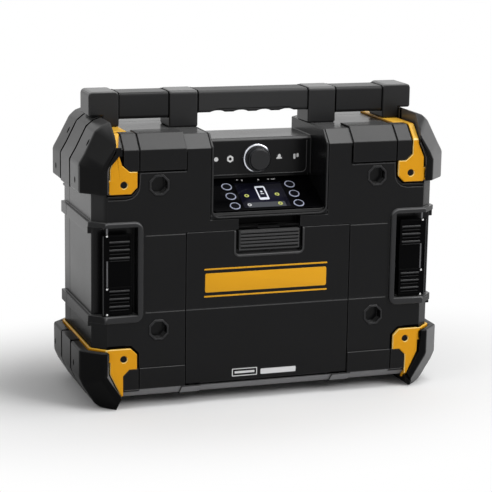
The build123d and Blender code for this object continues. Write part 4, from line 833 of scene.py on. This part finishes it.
glass_dark = moulded("glass_dark", (0.008, 0.008, 0.018), (0.010, 0.010, 0.020), rough=0.08,
                     shine=0.10, cell=0.6, depth=0.01, zones=faded_rim)
eased("display_panel", "deck_gloss", deck_black, (0.3, 2))
eased("display_window", "window_glass", glass_dark, (0.2, 2))

# ---------------------------------------------------------------- keys
# Three round black plastic keys stand on each side of the screen. Each gives way into the deck
# under a finger and is ringed by pale plastic, lit from below, a glow painted into its colour.
key_black = moulded("key_black", (0.002, 0.002, 0.004), (0.01, 0.011, 0.02), rough=0.30,
                    shine=0.05, cell=0.4, depth=0.1)
lit_ring = moulded("lit_ring", (0.43, 0.46, 0.60), (0.50, 0.53, 0.66), rough=0.35, shine=0.3,
                   cell=0.3, depth=0.05)
for number in range(1, 7):
    eased("display_key_%d" % number, "key_plastic", key_black, (0.25, 2))
eased("key_rings", "bright_ring", lit_ring, (0.12, 2))

# ---------------------------------------------------------------- knob
# One black plastic knob turns in a bright metal collar, which is pressed into the upright panel
# above the deck.
knob_z = 272.3


def lit_arc(shading, place, tint):
    """Painted reflection: the collar is light along its left and upper part and goes dark to the
    lower right.
    """
    x, _, z = parts_of(shading, place)
    away = x * 0.80 - (z - knob_z * MM) * 0.60
    return shading.blend(away.past(1.0, 6.0), tint, (0.012, 0.012, 0.014))


ring_metal = moulded("ring_metal", (0.70, 0.72, 0.78), (0.9, 0.9, 0.92), rough=0.22, shine=0.5,
                     cell=0.4, depth=0.05, metal=0.9, zones=lit_arc)
knob_black = moulded("knob_black", (0.0050, 0.0052, 0.0062), (0.04, 0.04, 0.045), rough=0.32,
                     shine=0.3, cell=0.4, depth=0.2)
eased("knob_ring", "bright_ring", ring_metal, (0.5, 3))
eased("knob_cap", "knob_plastic", knob_black, (0.6, 3))

# ---------------------------------------------------------------- marks and symbols
# Plain shapes in pale, green and grey inks: a telephone, a band and rings on the screen, small
# marks above it, and a nut, a dot, a bell and two drops beside the knob.
deck_rise = 0.5
slope = math.atan(deck_rise)
up_slope = Vector((0, math.cos(slope), math.sin(slope)))
deck_middle = Vector((0, -54, 233.4)) * MM
deck_outward = across_x.cross(up_slope)
deck_face = deck_middle, across_x, up_slope
glass_level = max((vert.co - deck_middle).dot(deck_outward)
                  for vert in solids["display_window"].data.vertices) / MM
screen_white = moulded("screen_white", (0.75, 0.77, 0.85), (0.8, 0.8, 0.85), rough=0.4, shine=0.3,
                       cell=0.3, depth=0.02, patch=0.05)
screen_grey = moulded("screen_grey", (0.050, 0.053, 0.062), (0.06, 0.06, 0.07), rough=0.4,
                      shine=0.2, cell=0.3, depth=0.02, patch=0.1)
screen_green = moulded("screen_green", (0.52, 0.55, 0.14), (0.6, 0.6, 0.2), rough=0.4, shine=0.3,
                       cell=0.3, depth=0.02, patch=0.08)
print_white = moulded("print_white", (0.70, 0.70, 0.70), (0.5, 0.5, 0.5), rough=0.5, shine=0.3,
                      cell=0.4, depth=0.05, patch=0.06)
phone_x, print_height, band_height = 0.3, 0.12, 0.06
raised("screen_phone", [(oblong(phone_x, 4.0, 12.0, 25.5, 1.8),
                         oblong(phone_x, 4.6, 8.6, 18.5, 0.6)),
                        polygon(phone_x, 6.5, 1.5, 10), oblong(phone_x, 2.4, 4.0, 1.4, 0.4)],
       deck_face, "case", screen_white, height=print_height, lift=glass_level)
raised("screen_band", [oblong(0.0, -17.6, 45.0, 9.0, 1.0)],
       deck_face, "case", screen_grey, height=band_height, lift=glass_level)
raised("screen_dots", [ring(x, up, 2.8, 1.3, 16) for x, up in (
    (-19.3, 0.0), (17.6, 0.4), (16.4, -16.7))],
       deck_face, "case", screen_green, height=print_height, lift=glass_level)
raised("screen_pale_dot", [ring(-20.7, -17.0, 2.4, 1.2, 16)],
       deck_face, "case", print_white, height=print_height, lift=glass_level)
raised("deck_marks", [oblong(-22.0, 30.4, 2.6, 1.3, 0.4), oblong(-16.6, 29.2, 1.8, 2.4, 0.5),
                      polygon(3.4, 29.2, 1.2, 10), polygon(15.6, 29.4, 1.1, 10),
                      oblong(21.6, 29.4, 5.4, 1.5, 0.6)],
       deck_face, "case", print_white, height=0.08)
symbol_z = 272.4
bell = [(24.3, 270.4), (31.3, 270.4), (31.3, 271.6), (29.8, 272.6), (29.6, 275.0), (28.2, 276.2),
        (26.6, 275.4), (25.8, 272.8), (24.3, 271.6)]
raised("panel_symbols", [ring(-31.7, symbol_z, 4.3, 2.0, 6, math.radians(30)),
                         polygon(-48.6, symbol_z, 2.6, 14), bell,
                         oblong(46.6, 272.6, 2.8, 6.2, 1.3), oblong(50.4, 273.8, 2.8, 4.6, 1.3)],
       knob_panel, "case", print_white, height=0.08)

# ---------------------------------------------------------------- rear and inside
# Perforated steel grilles over the loudspeakers, the mains inlet, and the boards, supply, liner,
# gasket, pins, spring and screws that the shells enclose. Their solids stay as they are.
grille_grey = moulded("grille_grey", (0.02, 0.02, 0.021), (0.06, 0.06, 0.06), rough=0.38,
                      shine=0.4, cell=0.4, depth=0.1, metal=0.5)
steel_plain = moulded("steel_plain", (0.42, 0.42, 0.43), (0.6, 0.6, 0.6), rough=0.28, shine=0.5,
                      cell=0.3, depth=0.08, metal=1.0)
pin_steel = moulded("pin_steel", (0.10, 0.10, 0.105), (0.5, 0.5, 0.5), rough=0.36, shine=0.5,
                    cell=0.3, depth=0.08, metal=0.8)
speaker_cone = moulded("speaker_cone", (0.014, 0.014, 0.015), (0.02, 0.02, 0.02), rough=0.6,
                       shine=0.2, cell=0.8, depth=0.3)
inlet_black = moulded("inlet_black", (0.010, 0.010, 0.011), (0.03, 0.03, 0.03), rough=0.4,
                      shine=0.3, cell=0.4, depth=0.2)
liner_grey = moulded("liner_grey", (0.03, 0.03, 0.032), (0.06, 0.06, 0.06), rough=0.5, shine=0.25,
                     cell=0.6, depth=0.3)
gasket_black = moulded("gasket_black", (0.015, 0.015, 0.015), (0.03, 0.03, 0.03), rough=0.7,
                       shine=0.2, cell=0.5, depth=0.2)
board_green = moulded("board_green", (0.01, 0.10, 0.035), (0.03, 0.14, 0.06), rough=0.4, shine=0.4,
                      cell=0.5, depth=0.1)
plain_finish = {
    "board_green": board_green, "heatsink_aluminium": steel_plain, "steel": steel_plain,
    "screw_steel": screw_black, "supply_plastic": liner_grey, "inlet_plastic": inlet_black,
    "grille_metal": grille_grey, "speaker_black": speaker_cone, "liner_plastic": liner_grey,
    "gasket_rubber": gasket_black, "display_black": deck_black, "knob_plastic": knob_black,
    "handle_plastic": handle_black}
for solid in solids.values():
    if solid.hide_render:
        continue
    for place, holder in enumerate(solid.material_slots):
        slot = holder.material.name.split(".")[0] if holder.material else ""
        solid.data.materials[place] = plain_finish.get(slot, holder.material)
solids["side_latch_pins"].data.materials[0] = pin_steel
solids["latch_spring"].data.materials[0] = screw_black
